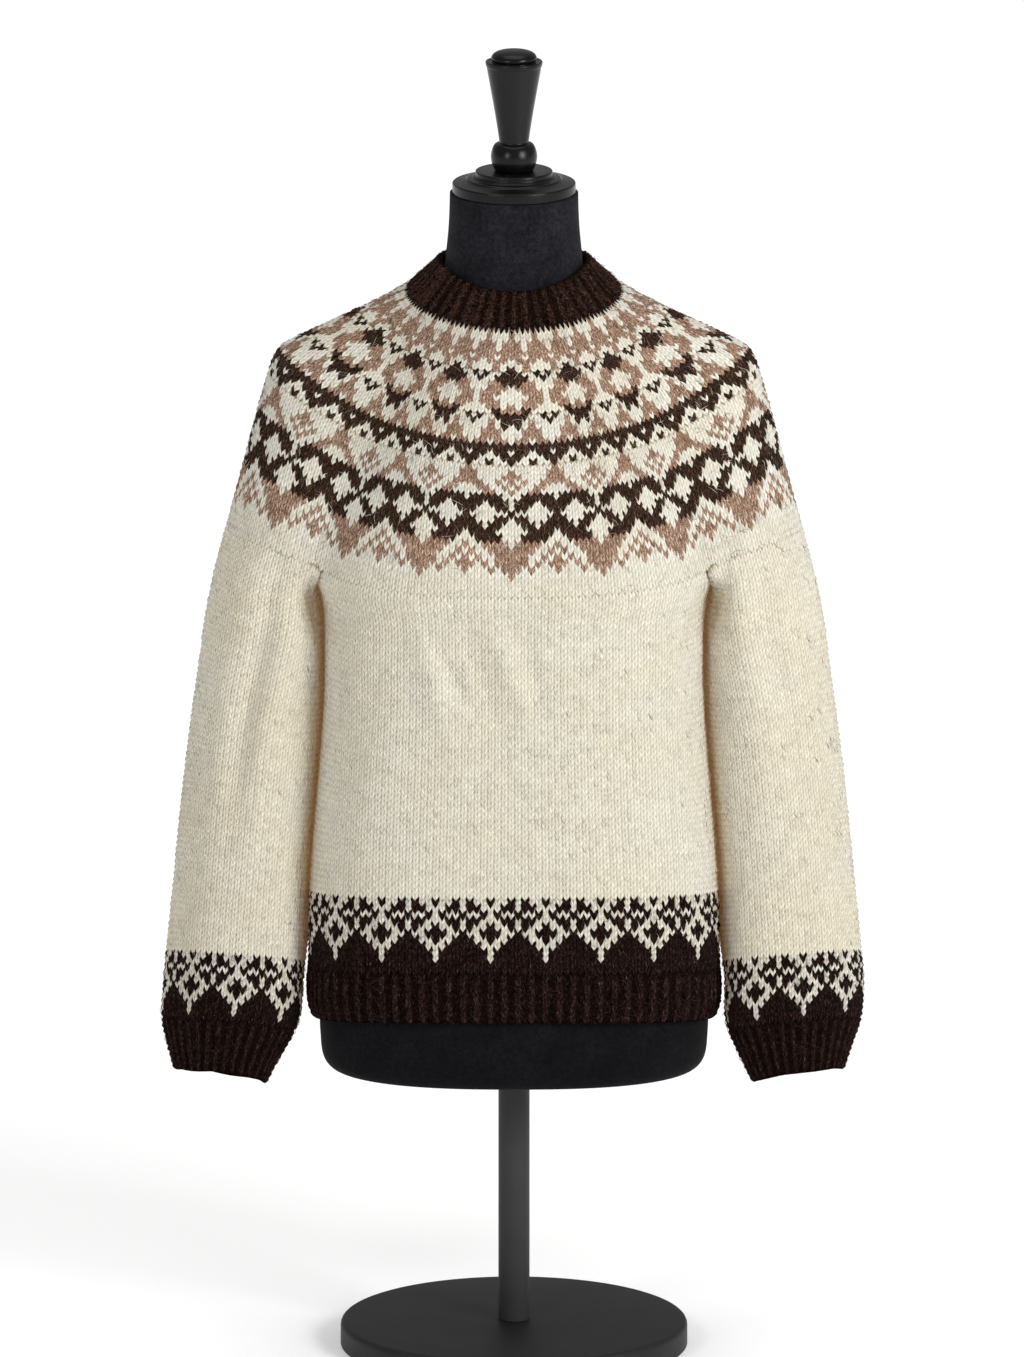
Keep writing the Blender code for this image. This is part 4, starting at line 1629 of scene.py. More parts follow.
        def bend(distance: Array) -> Array:
            """The soft ramp."""
            return 0.5 * (distance + np.sqrt(distance**2 + softness**2))

        down = (bend(travel - upper) - bend(-upper)) / (bend(lower) - bend(-upper)) * lower
        out = travel - down
        out *= upper / out[-1]
        outward = (shoulder - neck) / upper[:, None]
        downward = (foot - shoulder) / lower[:, None]
        return neck + outward * out[..., None] + downward * down[..., None]

    def _underarm_run(self, start: Array, end: Array) -> Array:
        """Points between two corners along the body's side, without the corners themselves.

        Args:
            start: the corner that it leaves.
            end: the corner that it meets.

        Returns:
            The points between them.
        """
        share = np.linspace(0, 1, self.underarm_columns + 1)[1:-1, None]
        run = start + (end - start) * share
        bulge = 4 * share[:, 0] * (1 - share[:, 0])
        run[:, 0] += math.copysign(self.half_width - abs(start[0]), start[0]) * bulge
        run[:, 2] -= self.dip * bulge
        return run

    def _seam_feet(self, threads: Array) -> list[Array]:
        """The underarm ring and one below it that carries the yoke's slope on."""
        slope = threads[-1] - threads[-2]
        return [threads[-1], threads[-1] + slope / np.linalg.norm(slope, axis=1)[:, None] * self.seam_follow]

    def _body_cut(self, foot: Array) -> Array:
        """A ring below the yoke, cut straight across under each arm.

        Args:
            foot: a ring round body and arms.

        Returns:
            The ring round the body alone.
        """
        corner, sleeve = self.corner_column, self.sleeve_columns
        front = foot[: corner + 1]
        back = foot[corner + sleeve : 3 * corner + sleeve + 1]
        home = foot[3 * corner + 2 * sleeve :]
        right = self._underarm_run(front[-1], back[0])
        left = self._underarm_run(back[-1], home[0])
        return np.concatenate([front, right, back, left, home])

    def _body_columns(self) -> Array:
        """Stitch numbers of the body's columns, finer on the front and back than under the arms.

        Returns:
            Rising numbers, the first 0.
        """
        half, under = self.front_stitches // 2, self.underarm_stitches // self.underarm_columns
        back = half + self.underarm_stitches
        second = back + self.front_stitches
        runs = (
            np.arange(0, half, self.step),
            np.arange(half, back, under),
            np.arange(back, second, self.step),
            np.arange(second, second + self.underarm_stitches, under),
            np.arange(second + self.underarm_stitches, self.body_stitches, self.step),
        )
        return np.concatenate(runs)

    def _body_ring(self, side_z: float, half_width: float, front_lift: float, back_lift: float) -> Array:
        """One body ring: an evenly spaced superellipse, tilted so that front and back hang as stated.

        Args:
            side_z: height at the side.
            half_width: half its width.
            front_lift: what the front hangs higher.
            back_lift: what the back does.

        Returns:
            The ring.
        """
        angle = np.linspace(-math.pi, math.pi, self.BODY_POINTS)
        dense = superellipse(half_width, self.BODY_FRONT, self.BODY_BACK, self.body_power, angle)
        ring = np.roll(evenly(dense, self.body_stitches)[:-1], -self.body_stitches // 2, axis=0)
        lean = -ring[:, 1] / np.where(ring[:, 1] < 0, self.BODY_FRONT, self.BODY_BACK)
        ring[:, 2] = side_z + through_three(front_lift, 0.0, back_lift, lean)
        return ring[self._body_columns()]

    def body_fabric(self, rows: int, hem_rows: int, folds: tuple[Fold, ...]) -> Fabric:
        """Body and hem band as one fabric, from the underarm ring down.

        Args:
            rows: rows above the hem band.
            hem_rows: rows of the hem band.
            folds: ridges and troughs.

        Returns:
            The fabric.
        """
        feet = [self._body_cut(foot) for foot in self._seam_feet(self.threads())]
        rings = np.stack(feet + [self._body_ring(*row) for row in self.BODY])
        stations = stations_of(rings, self.BODY_RINGS_ABOVE_HEM, rows, hem_rows)
        ends = np.append(self._body_columns(), self.body_stitches)
        columns = np.interp(np.arange(self.body_stitches), ends, np.arange(len(ends)))
        return Fabric.worked(rings, stations, rows + hem_rows, columns, folds)

    def _sleeve_cut(self, foot: Array) -> Array:
        """A ring below the yoke over the +X arm, closed along the body's side and just clear of it.

        Args:
            foot: a ring round body and arms.

        Returns:
            The ring round the arm alone.
        """
        outer = foot[self.corner_column : self.corner_column + self.sleeve_columns + 1]
        inner = self._underarm_run(outer[-1], outer[0])
        inner[:, 0] += self.SLEEVE_CLEARANCE
        outer = outer.copy()
        outer[[0, -1], 0] += self.SLEEVE_CLEARANCE
        return np.concatenate([outer, inner])

    def _sleeve_ring(self, row: tuple[float, ...]) -> Array:
        """One ring of the +X sleeve from its row of sizes: round outside, flat inside, tilted.

        Args:
            row: one row of the table of sizes.

        Returns:
            The ring.
        """
        inner_z, inner_x, outer_z, outer_x, half_depth, forward, rise = row
        angle = np.linspace(-math.pi, math.pi, self.SLEEVE_POINTS)
        middle = inner_x + self.SLEEVE_MIDDLE * (outer_x - inner_x)
        flat_cosine = -(np.abs(np.cos(angle)) ** (2 / self.INNER_FLATNESS))
        flat_sine = np.sign(np.sin(angle)) * np.abs(np.sin(angle)) ** (2 / self.INNER_FLATNESS)
        outside = np.cos(angle) > 0
        x = np.where(outside, (outer_x - middle) * np.cos(angle), (middle - inner_x) * flat_cosine)
        y = half_depth * np.where(outside, np.sin(angle), flat_sine)
        slope = (outer_z - inner_z) / (outer_x - inner_x)
        z = inner_z + slope * (x + middle - inner_x) - rise * y
        columns = self.sleeve_columns + self.underarm_columns
        ring = evenly(np.stack([x + middle, y - forward, z], axis=1), columns)[:-1]
        return np.roll(ring, -self.underarm_columns // 2, axis=0)

    def sleeve_fabric(self, rows: int, cuff_rows: int, stitches: int, folds: tuple[Fold, ...]) -> Fabric:
        """The +X sleeve and its cuff as one fabric, from the underarm ring down.

        At the top the stitches keep the yoke's pitch over the arm and share the underarm between the
        rest; from the elbow down they are all alike.

        Args:
            rows: rows above the cuff.
            cuff_rows: rows of the cuff.
            stitches: stitches round.
            folds: ridges and troughs.

        Returns:
            The fabric.
        """
        feet = [self._sleeve_cut(foot) for foot in self._seam_feet(self.threads())]
        rings = np.stack(feet + [self._sleeve_ring(row) for row in self.SLEEVE])
        stations = stations_of(rings, self.SLEEVE_RINGS_ABOVE_CUFF, rows, cuff_rows)
        numbers = np.arange(stitches)
        whole = self.sleeve_columns + self.underarm_columns
        top = np.interp(numbers, (0, self.sleeve_stitches, stitches), (0, self.sleeve_columns, whole))
        bottom = self.sleeve_columns / 2 + (numbers - self.sleeve_stitches / 2) * whole / stitches
        share = smooth_step(np.arange(-1, rows + cuff_rows + 2) / (self.ELBOW * rows), 0, 1)[:, None]
        return Fabric.worked(rings, stations, rows + cuff_rows, top * (1 - share) + bottom * share, folds)

    def yoke_fabric(self, shares: tuple[Triple, ...]) -> Fabric:
        """The yoke with a ring on each row.

        Args:
            shares: table of row, share of the thread's length above it, and what the corners between
                chest and sleeve add to that share.

        Returns:
            The fabric.
        """
        threads = self.threads()
        steps = np.linalg.norm(np.diff(threads, axis=0), axis=2)
        along = np.concatenate([np.zeros((1, steps.shape[1])), np.cumsum(steps, axis=0)])
        table = np.array(shares)
        lines = np.arange(int(table[-1, 0]) + 1)
        corner = np.sin(2 * bearings(self.yoke_columns)) ** 2
        wanted = spline_weights(table[:, 0], lines) @ table[:, 1:]
        share = wanted[:, :1] + wanted[:, 1:] * corner
        share[0], share[-1] = 0, 1
        rings = np.empty((len(lines), self.yoke_columns, 3))
        for column in range(self.yoke_columns):
            length = along[:, column]
            for axis in range(3):
                rings[:, column, axis] = np.interp(share[:, column] * length[-1], length, threads[:, column, axis])
        columns = np.arange(self.yoke_stitches) / self.step
        return Fabric.worked(rings, lines, len(lines) - 1, columns)

    def collar_fabric(self, rows: int, stitches: int) -> Fabric:
        """The neckband, from its free edge down to the yoke.

        It is the quadratic curve high*s^2 + middle*2s(1-s) + low*(1-s)^2, with the middle on the yoke's
        slope carried on.

        Args:
            rows: its rows.
            stitches: stitches round.

        Returns:
            The fabric.
        """
        threads = self.threads()
        low, high = threads[0], egg_ring(*self.COLLAR, self.yoke_columns)
        rise = low - threads[self.COLLAR_LEAD_FROM]
        rise /= np.linalg.norm(rise, axis=1)[:, None]
        middle = low + rise * self.COLLAR_LEAD * np.linalg.norm(high - low, axis=1)[:, None]
        s = np.linspace(1, 0, rows + 1)[:, None, None]
        rings = high * s**2 + middle * 2 * s * (1 - s) + low * (1 - s) ** 2
        stations = lengths_down(rings)
        columns = np.arange(stitches) * self.yoke_columns / stitches
        return Fabric.worked(rings, stations / stations[-1] * rows, rows, columns)


# ---- sub-assemblies
@dataclass
class Sweater:
    """All knitted pieces."""

    form: GarmentForm
    body_rows: int = 52
    sleeve_rows: int = 70
    sleeve_stitches: int = 72
    neck_stitches: int = 96
    neck_rows: int = 10
    neck_wall: float = 5 * MM
    hem_plain_rows: int = 2
    hem_rib_rows: int = 8
    cuff_plain_rows: int = 1
    cuff_rib_rows: int = 9

    YOKE_ROWS = (
        # row   share   added at the corners
        (0, 0.0, 0.0),
        (4, 0.074, 0.0),
        (9, 0.151, -0.004),
        (14, 0.240, -0.008),
        (20, 0.346, -0.012),
        (26, 0.464, -0.014),
        (33, 0.595, -0.010),
        (40, 0.742, -0.006),
        (45, 0.863, -0.012),
        (48, 0.932, -0.008),
        (51, 1.0, 0.0),
    )
    BODY_FOLDS = (
        # share of the turn, row, half length, half width, height in mm, slant
        Fold(-0.072, 16, 0.052, 0.013, 3.8, 14),
        Fold(-0.053, 15, 0.036, 0.006, -3.4, 28),
        Fold(-0.026, 17, 0.055, 0.011, -2.8, 14),
        Fold(-0.004, 13, 0.038, 0.013, 4.0, 22),
        Fold(0.016, 14, 0.035, 0.008, -3.0, 12),
        Fold(-0.125, 34, 0.090, 0.030, 2.6, -8),
        Fold(0.095, 36, 0.085, 0.032, -2.4, 10),
        Fold(0.150, 15, 0.065, 0.014, 2.2, 17),
        Fold(0.183, 5, 0.045, 0.010, -2.2, -10),
        Fold(0.818, 6, 0.050, 0.010, -2.4, 9),
        Fold(0.850, 16, 0.055, 0.013, 1.8, -15),
        Fold(0.500, 18, 0.080, 0.018, 2.8, 5),
        Fold(0.430, 30, 0.095, 0.024, -2.8, -8),
        Fold(0.580, 13, 0.065, 0.016, 2.4, 15),
        Fold(0.365, 8, 0.055, 0.013, -2.4, -14),
        Fold(0.640, 9, 0.060, 0.013, -2.2, 12),
    )
    SLEEVE_FOLDS = {
        "right": (
            Fold(0.075, 20, 0.130, 0.013, 3.6, 0),
            Fold(0.145, 24, 0.120, 0.013, -3.4, 3),
            Fold(0.020, 4, 0.035, 0.010, -2.4, -20),
            Fold(0.300, 12, 0.050, 0.020, 2.0, 25),
            Fold(0.520, 40, 0.090, 0.014, -2.2, -6),
            Fold(0.600, 24, 0.100, 0.014, 3.0, 5),
        ),
        "left": (
            Fold(0.062, 26, 0.130, 0.014, 4.2, 3),
            Fold(0.118, 22, 0.115, 0.010, -6.0, 2),
            Fold(0.185, 34, 0.110, 0.014, 1.6, -4),
            Fold(0.015, 5, 0.035, 0.010, -2.4, -16),
            Fold(0.280, 16, 0.050, 0.020, 1.8, -30),
            Fold(0.570, 30, 0.110, 0.015, 2.8, -4),
            Fold(0.640, 18, 0.080, 0.012, -2.4, 6),
        ),
    }
    # number of hairs, their yarns, and how much lighter they are
    YOKE_FIBRES = Fibres(1900, (Dye.W, Dye.T, Dye.T, Dye.B), 1.1)
    NECK_FIBRES = Fibres(1000, (Dye.E,), 4.0)
    BODY_FIBRES = Fibres(1200, (Dye.C,))
    HEM_FIBRES = Fibres(1500, (Dye.D,), 3.5)
    SLEEVE_FIBRES = Fibres(700, (Dye.C,))
    CUFF_FIBRES = Fibres(500, (Dye.D,), 3.5)
    # stitches by which a piece is turned from the first column
    TURN = -0.4
    HEM_TURN = 0.6
    CUFFS = (
        # side, stitches by which its pattern is turned, hang
        ("right", 0.6, CuffHang(lean=-3.5 * MM, wave=1.0 * MM, turn=0.6)),
        ("left", 1.6, CuffHang(lean=-5.0 * MM, wave=1.6 * MM, turn=2.2)),
    )
    CUFF_SWING_START = 2
    PICK_UP_REACH = 0.5
    FORM = "form_torso_cover"

    def build_yoke(self, wool: Material) -> None:
        """The patterned round yoke, which grows in three places, with its dark pick-up row on top.

        Args:
            wool: its finish.
        """
        fabric = self.form.yoke_fabric(self.YOKE_ROWS)
        charts = [(chart_rows(repeat, rows), repeat * YOKE_REPEATS) for repeat, rows in YOKE_CHART]
        courses = [Course(across(chart, stitches), PLAIN) for chart, stitches in charts]
        courses[0].long_row, courses[0].reach = 1, self.PICK_UP_REACH
        yoke = KnitTube("yoke_knit", fabric, -1, courses, top=Edge.SEAM, turn=self.TURN)
        add_knit(yoke, wool, self.YOKE_FIBRES)

    def build_neckband(self, wool: Material) -> None:
        """The ribbed neckband.

        Args:
            wool: its finish.
        """
        fabric = self.form.collar_fabric(self.neck_rows, self.neck_stitches)
        course = Course(plain_rows(self.neck_rows, self.neck_stitches, Dye.E), RIB)
        tube = KnitTube("neckband_knit", fabric, 0, [course], self.neck_wall, Edge.OPEN, Edge.UNDER, RIB_BACK, 2)
        add_knit(tube, wool, self.NECK_FIBRES)

    def _band(self, stitches: int, plain: int, rib: int, shift: int) -> list[Course]:
        """The border that hem and cuffs share: pattern, plain brown rows, ribbing.

        Args:
            stitches: stitches round.
            plain: plain rows.
            rib: ribbed rows.
            shift: columns by which the pattern is moved on.

        Returns:
            The two courses.
        """
        chart = across(chart_rows(BAND_REPEAT, BAND_CHART), stitches, shift)
        return [
            Course(np.concatenate([chart, plain_rows(plain, stitches, Dye.D)]), PLAIN),
            Course(plain_rows(rib, stitches, Dye.D), RIB),
        ]

    def _band_tube(self, name: str, fabric: Fabric, row: int, courses: list[Course], turn: float) -> KnitTube:
        """A patterned band with an open ribbed edge."""
        return KnitTube(name, fabric, row, courses, 3 * MM, Edge.UNDER, Edge.OPEN, RIB_BACK, 2, turn)

    def build_body(self, cream: Material, patterned: Material) -> None:
        """Body and hem band.

        Args:
            cream: finish of the body.
            patterned: finish of the hem band.
        """
        form, rows = self.form, self.body_rows
        courses = self._band(form.body_stitches, self.hem_plain_rows, self.hem_rib_rows, BAND_REPEAT // 2)
        fabric = ArmPress().apply(form.body_fabric(rows, rows_of(courses), self.BODY_FOLDS))
        plain = Course(plain_rows(rows, form.body_stitches, Dye.C), PLAIN)
        body = KnitTube("body_knit", fabric, 0, [plain], turn=self.TURN)
        add_knit(body, cream, self.BODY_FIBRES)
        hem = self._band_tube("hem_band_knit", fabric, rows, courses, self.HEM_TURN)
        add_knit(hem, patterned, self.HEM_FIBRES)

    def build_sleeves(self, cream: Material, patterned: Material) -> None:
        """Both sleeves with their cuffs.

        Args:
            cream: finish of the sleeves.
            patterned: finish of the cuffs.
        """
        stitches, rows = self.sleeve_stitches, self.sleeve_rows
        courses = self._band(stitches, self.cuff_plain_rows, self.cuff_rib_rows, 0)
        cuff_rows = rows_of(courses)
        for side, turn, hang in self.CUFFS:
            fabric = self.form.sleeve_fabric(rows, cuff_rows, stitches, self.SLEEVE_FOLDS[side])
            fabric = ArmPress().apply(fabric if side == "right" else fabric.mirrored())
            fabric = hang.apply(fabric, rows + self.CUFF_SWING_START, rows + cuff_rows)
            plain = Course(plain_rows(rows, stitches, Dye.S), PLAIN)
            sleeve = f"sleeve_{side}_knit"
            tube = KnitTube(sleeve, fabric, 0, [plain], back_per_stitch=1, turn=self.TURN)
            add_knit(tube, cream, self.SLEEVE_FIBRES)
            cuff = self._band_tube(f"cuff_{side}_knit", fabric, rows, courses, turn)
            add_knit(cuff, patterned, self.CUFF_FIBRES)

    def build(self) -> None:
        """Knits every piece."""
        wool = Wool()
        cream = wool.material("cream_wool_knit")
        patterned = wool.material("patterned_wool_knit")
        self.build_yoke(patterned)
        self.build_neckband(wool.material("brown_wool_knit"))
        self.build_body(cream, patterned)
        self.build_sleeves(cream, patterned)


@dataclass
class DressForm:
    """The limbless form: neck, shoulders that fill the yoke's inside, and a plain body."""

    form: GarmentForm
    wall: float = 3 * MM
    rest_gap: float = 0.8 * MM
    armhole_sharpness: float = 12
    power: float = 2.5
    columns: int = 168
    rings_between: int = 4
    nearby: float = 0.02

    NECK = (
        # half width, (front, side, back) y, (front, side, back) z
        (0.0563, (-0.0563, 0.0000, 0.0563), (1.0417, 1.0417, 1.0417)),
        (0.0575, (-0.0575, 0.0000, 0.0575), (1.0100, 1.0100, 1.0100)),
        (0.0598, (-0.0598, 0.0000, 0.0598), (0.9720, 0.9850, 0.9900)),
        (0.0612, (-0.0612, 0.0000, 0.0612), (0.9620, 0.9750, 0.9810)),
        (0.0660, (-0.0655, -0.0010, 0.0640), (0.9520, 0.9660, 0.9735)),
        (0.0750, (-0.0710, -0.0030, 0.0680), (0.9415, 0.9590, 0.9660)),
        (0.0865, (-0.0790, -0.0060, 0.0730), (0.9345, 0.9540, 0.9600)),
    )
    SHOULDER = (
        # share of the yoke's length, half width at which the armhole cuts the shoulder off
        (0.02, 0.300),
        (0.09, 0.300),
        (0.17, 0.300),
        (0.25, 0.300),
        (0.32, 0.260),
        (0.38, 0.225),
        (0.45, 0.200),
        (0.53, 0.184),
        (0.62, 0.172),
    )
    BODY = (
        # z       half width  front    back
        (0.7450, 0.1620, 0.1120, 0.1050),
        (0.6900, 0.1580, 0.1160, 0.1060),
        (0.6100, 0.1540, 0.1120, 0.1040),
        (0.5200, 0.1560, 0.1100, 0.1040),
        (0.4300, 0.1660, 0.1150, 0.1080),
        (0.3400, 0.1703, 0.1175, 0.1110),
        (0.2750, 0.1703, 0.1175, 0.1110),
        (0.2700, 0.1696, 0.1168, 0.1103),
        (0.2640, 0.1675, 0.1147, 0.1082),
        (0.2590, 0.1630, 0.1102, 0.1037),
        (0.2574, 0.1590, 0.1062, 0.0997),
        (0.2570, 0.1540, 0.1012, 0.0947),
    )

    def _shoulder_ring(self, threads: Array, share: float, armhole: float) -> Array:
        """The yoke's ring moved in by wall and gap, and cut off at the armhole by a soft limit on x.

        Args:
            threads: the yoke's threads.
            share: share of their length above the ring.
            armhole: half width at which it is cut off.

        Returns:
            The ring.
        """
        count = len(threads) - 1
        steps = (0.0, -self.nearby, self.nearby)
        here, above, below = (threads[round((share + step) * count)] for step in steps)
        round_way = np.roll(here, -1, axis=0) - np.roll(here, 1, axis=0)
        normal = np.cross(above - below, round_way)
        ring = here + normal / np.linalg.norm(normal, axis=1)[:, None] * (self.wall + self.rest_gap)
        excess = (np.abs(ring[:, 0]) / armhole) ** self.armhole_sharpness
        ring[:, 0] /= (1 + excess) ** (1 / self.armhole_sharpness)
        return ring

    def rings(self) -> Array:
        """All rings from the top down, with as many columns as the coarse yoke.

        Returns:
            Points, shape (rings, columns, 3).
        """
        columns = self.form.yoke_columns
        rings = [egg_ring(*row, columns) for row in self.NECK]
        threads = self.form.threads()
        rings += [self._shoulder_ring(threads, *row) for row in self.SHOULDER]
        for z, half_width, front, back in self.BODY:
            rings.append(superellipse(half_width, front, back, self.power, bearings(columns)) + (0, 0, z))
        return np.stack(rings)

    def build(self) -> None:
        """The covered form as one closed mesh."""
        rings = self.rings()
        along = lengths_down(rings)
        steps = np.arange(self.rings_between * (len(rings) - 1) + 1) / self.rings_between
        fine = np.interp(steps, np.arange(len(rings)), along)
        lofted = np.tensordot(spline_weights(along, fine), rings, (1, 0))
        points = read_ring(lofted, np.arange(self.columns) * rings.shape[1] / self.columns)
        name = Sweater.FORM
        cloth = FormCloth().material("form_cloth")
        add_piece(name, solid_mesh(name, points), cloth, ("form_torso",))


# most that a fillet takes of the run on either side
FILLET_SHARE = 0.49


def rounded_profile(corners: tuple[Triple, ...], steps: int = 6) -> Array:
    """A profile whose corners are rounded off.

    Each corner is replaced by the quadratic curve between the points one fillet before and after it.

    Args:
        corners: radius, height and fillet of each corner, from the top down.
        steps: points on each rounding.

    Returns:
        Points (n, 2) of radius and height.
    """
    table = np.array(corners)
    spots, fillets = table[:, :2], table[:, 2]
    points = [spots[:1]]
    s = np.linspace(0, 1, steps)[:, None]
    for number in range(1, len(spots) - 1):
        here = spots[number]
        ends = []
        for other in (spots[number - 1], spots[number + 1]):
            away = other - here
            length = np.linalg.norm(away)
            ends.append(here + away / length * min(fillets[number], FILLET_SHARE * length))
        points.append(ends[0] * (1 - s) ** 2 + here * 2 * s * (1 - s) + ends[1] * s**2)
    points.append(spots[-1:])
    return np.concatenate(points)


@dataclass
class Stand:
    """Cap, finial, pole and foot plate, all turned about the Z axis."""

    steps: int = 160
    axis_hole: float = 0.02 * MM
    neck_top: float = 1.0417
    gap: float = 0.3 * MM
    pole_radius: float = 13.8 * MM
    base_radius: float = 153.4 * MM
    base_thickness: float = 22 * MM
    form_foot: float = 0.257

    CAP = (
        # radius  height  fillet
        (0.0000, 0.0197, 0.0),
        (0.0339, 0.0197, 0.0014),
        (0.0339, 0.0152, 0.0008),
        (0.0358, 0.0150, 0.0008),
        (0.0366, 0.0136, 0.0010),
        (0.0410, 0.0130, 0.0012),
        (0.0420, 0.0114, 0.0010),
        (0.0470, 0.0101, 0.0040),
        (0.0541, 0.0092, 0.0014),
        (0.0541, 0.0000, 0.0010),
        (0.0530, 0.0000, 0.0004),
        (0.0000, 0.0000, 0.0),
    )
    FINIAL = (
        # radius  height  fillet
        (0.0000, 0.1076, 0.0),
        (0.0080, 0.1074, 0.0040),
        (0.0172, 0.1053, 0.0055),
        (0.0207, 0.1008, 0.0035),
        (0.0188, 0.0968, 0.0012),
        (0.0236, 0.0976, 0.0006),
        (0.0251, 0.0974, 0.0010),
        (0.0249, 0.0940, 0.0008),
        (0.0241, 0.0928, 0.0010),
        (0.0160, 0.0470, 0.0300),
        (0.0128, 0.0250, 0.0010),
        (0.0180, 0.0232, 0.0060),
        (0.0212, 0.0118, 0.0100),
        (0.0175, 0.0000, 0.0080),
        (0.0150, 0.0000, 0.0004),
        (0.0000, 0.0000, 0.0),
    )

    # fillets of the pole's ends, of the plate's upper and lower edge, and of a point on a straight run
    POLE_FILLET = 0.6 * MM
    RIM_FILLETS = (5.5 * MM, 1.2 * MM)
    RUN_FILLET = 1.0 * MM
    # share of the plate's radius at which its flat top has a ring
    PLATE_RING = 0.6

    def _turned(self, name: str, corners: tuple, foot: float, material: Material, node: str) -> None:
        """A rounded profile spun round the Z axis: (r*sin t, -r*cos t, z).

        Args:
            name: name of the piece.
            corners: its profile, as rounded_profile takes it.
            foot: height on which it stands.
            material: its finish.
            node: CAD node that it stands for.
        """
        profile = rounded_profile(corners)
        angle = bearings(self.steps)
        radius = np.maximum(profile[:, :1], self.axis_hole)
        height = np.repeat(profile[:, 1:] + foot, self.steps, axis=1)
        points = np.stack([radius * np.sin(angle), -radius * np.cos(angle), height], axis=2)
        add_piece(name, solid_mesh(name, points), material, (node,))

    def build(self) -> None:
        """All four turned pieces."""
        lacquer = Lacquer().material("black_lacquer_finish")
        # one powder coat in two copies: the pole's is painted lighter than the base's, for the light that the upright
        # pole catches
        lit_pole_coat = PowderCoat((0.0265, 0.0265, 0.0270)).material("black_powder_coat_lit_pole")
        base_coat = PowderCoat((0.0100, 0.0100, 0.0103)).material("black_powder_coat_base")
        cap_foot = self.neck_top + self.gap
        finial_foot = cap_foot + self.CAP[0][1] + self.gap
        self._turned("cap_turned", self.CAP, cap_foot, lacquer, "neck_cap")
        self._turned("finial_turned", self.FINIAL, finial_foot, lacquer, "finial")
        pole_foot = self.base_thickness + self.gap
        high, wide = self.form_foot - self.gap - pole_foot, self.pole_radius
        end, run = self.POLE_FILLET, self.RUN_FILLET
        pole = ((0.0, high, 0.0), (wide, high, end), (wide, high / 2, run), (wide, 0.0, end), (0.0, 0.0, 0.0))
        self._turned("pole_tube", pole, pole_foot, lit_pole_coat, "pole")
        rim, top = self.base_radius, self.base_thickness
        upper, lower = self.RIM_FILLETS
        middle = rim * self.PLATE_RING
        base = ((0.0, top, 0.0), (middle, top, run), (rim, top, upper), (rim, 0.0, lower), (0.0, 0.0, 0.0))
        self._turned("base_plate", base, 0.0, base_coat, "base")


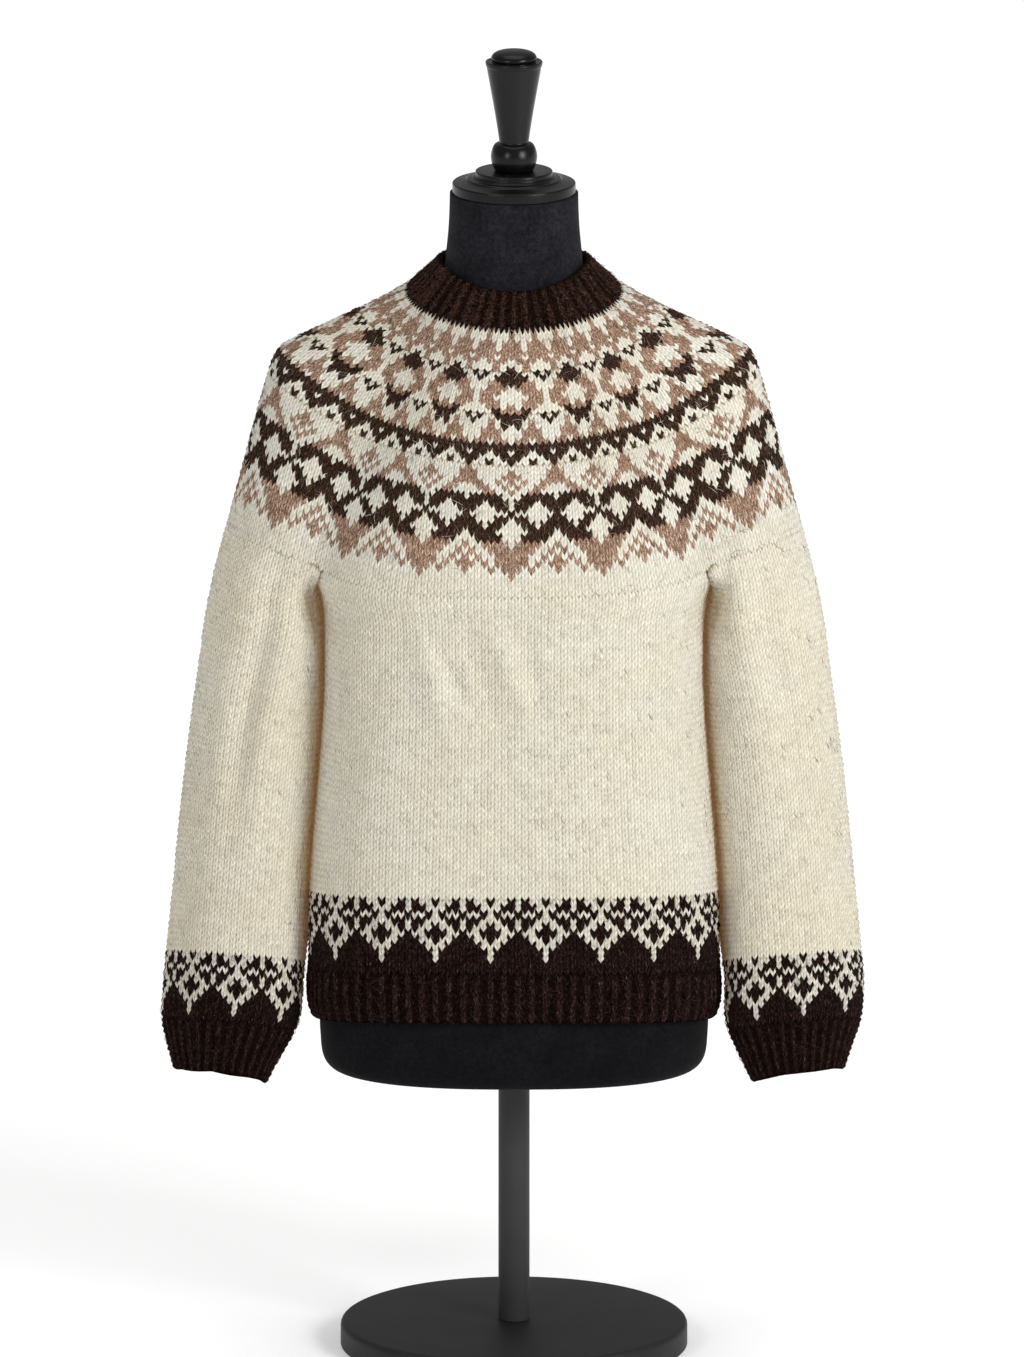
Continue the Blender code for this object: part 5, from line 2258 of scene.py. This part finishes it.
@dataclass
class Studio:
    """Floor, lights and camera.

    Attributes:
        distance: of the camera, a long lens.
        elevation: of the camera, in degrees.
        centre_x: x that falls on the middle of the picture.
        centre_height: height of the picture's middle on the axis, square to the view.
        frame_height: height of the picture at the axis.
    """

    distance: float = 25.0
    elevation: float = 13.3
    centre_x: float = -0.00176
    centre_height: float = 0.5877
    frame_height: float = 1.1942
    sensor: float = 36.0
    floor_radius: float = 90.0
    floor_sides: int = 96
    sky: float = 0.35
    overhead: float = 1.35
    overhead_spread: float = 60.0

    SOFT_BOXES = (
        # name            place              side  watts
        ("soft_box_right", (2.3, -2.3, 1.9), 1.2, 79.0),
        ("soft_box_left", (-1.3, -1.9, 1.6), 0.6, 12.0),
    )
    AIM = (0.0, 0.0, 0.65)

    def build_floor(self) -> None:
        """A round floor, wide enough to fill the picture."""
        count = self.floor_sides
        angle = bearings(count)
        ring = np.stack([np.sin(angle), -np.cos(angle), np.zeros(count)], axis=1) * self.floor_radius
        mesh = bpy.data.meshes.new("studio_floor")
        mesh.from_pydata(ring.tolist(), [], [tuple(range(count))])
        mesh.materials.append(FloorPaint().material("pale_floor"))
        linked("studio_floor", mesh)

    def _light(self, name: str, place: Triple, size: float, power: float) -> None:
        """A square soft light aimed at the garment.

        Args:
            name: name of the light.
            place: where it hangs.
            size: its side, in metres.
            power: its power, in watts.
        """
        data = bpy.data.lights.new(name, "AREA")
        data.shape = "SQUARE"
        data.size = size
        data.energy = power
        made = linked(name, data)
        made.location = place
        aim = np.array(self.AIM) - np.array(place)
        pitch = math.atan2(math.hypot(aim[0], aim[1]), -aim[2])
        made.rotation_euler = (pitch, 0.0, math.atan2(aim[1], aim[0]) - math.pi / 2)

    def build_lights(self) -> None:
        """A dim even sky, a glow from above, and two soft boxes, the stronger on the right."""
        world = bpy.data.worlds.new("studio_sky")
        world.use_nodes = True
        background = world.node_tree.nodes["Background"]
        background.inputs["Color"].default_value = (*WHITE, 1.0)
        background.inputs["Strength"].default_value = self.sky
        scene = bpy.context.scene
        scene.world = world
        scene.view_settings.view_transform = "Standard"
        scene.view_settings.look = "None"
        for box in self.SOFT_BOXES:
            self._light(*box)
        data = bpy.data.lights.new("ceiling_glow", "SUN")
        data.energy = self.overhead
        data.angle = math.radians(self.overhead_spread)
        linked("ceiling_glow", data)

    def build_camera(self) -> None:
        """The camera, which looks down on the garment from the front."""
        pitch = math.radians(self.elevation)
        data = bpy.data.cameras.new("studio_camera")
        data.sensor_width = self.sensor
        data.lens = self.sensor * self.distance / self.frame_height
        data.clip_end = 2.5 * self.distance
        camera = linked("studio_camera", data)
        back, up = self.distance * math.cos(pitch), self.distance * math.sin(pitch)
        camera.location = (self.centre_x, -back, self.centre_height / math.cos(pitch) + up)
        camera.rotation_euler = (math.pi / 2 - pitch, 0.0, 0.0)
        bpy.context.scene.camera = camera

    def build(self) -> None:
        """Sets up the studio."""
        self.build_floor()
        self.build_lights()
        self.build_camera()


def main() -> None:
    """Builds the whole scene."""
    logging.basicConfig(level=logging.INFO, format="%(message)s")
    form = GarmentForm()
    DressForm(form).build()
    Sweater(form).build()
    Stand().build()
    Studio().build()


if __name__ == "__main__":
    main()
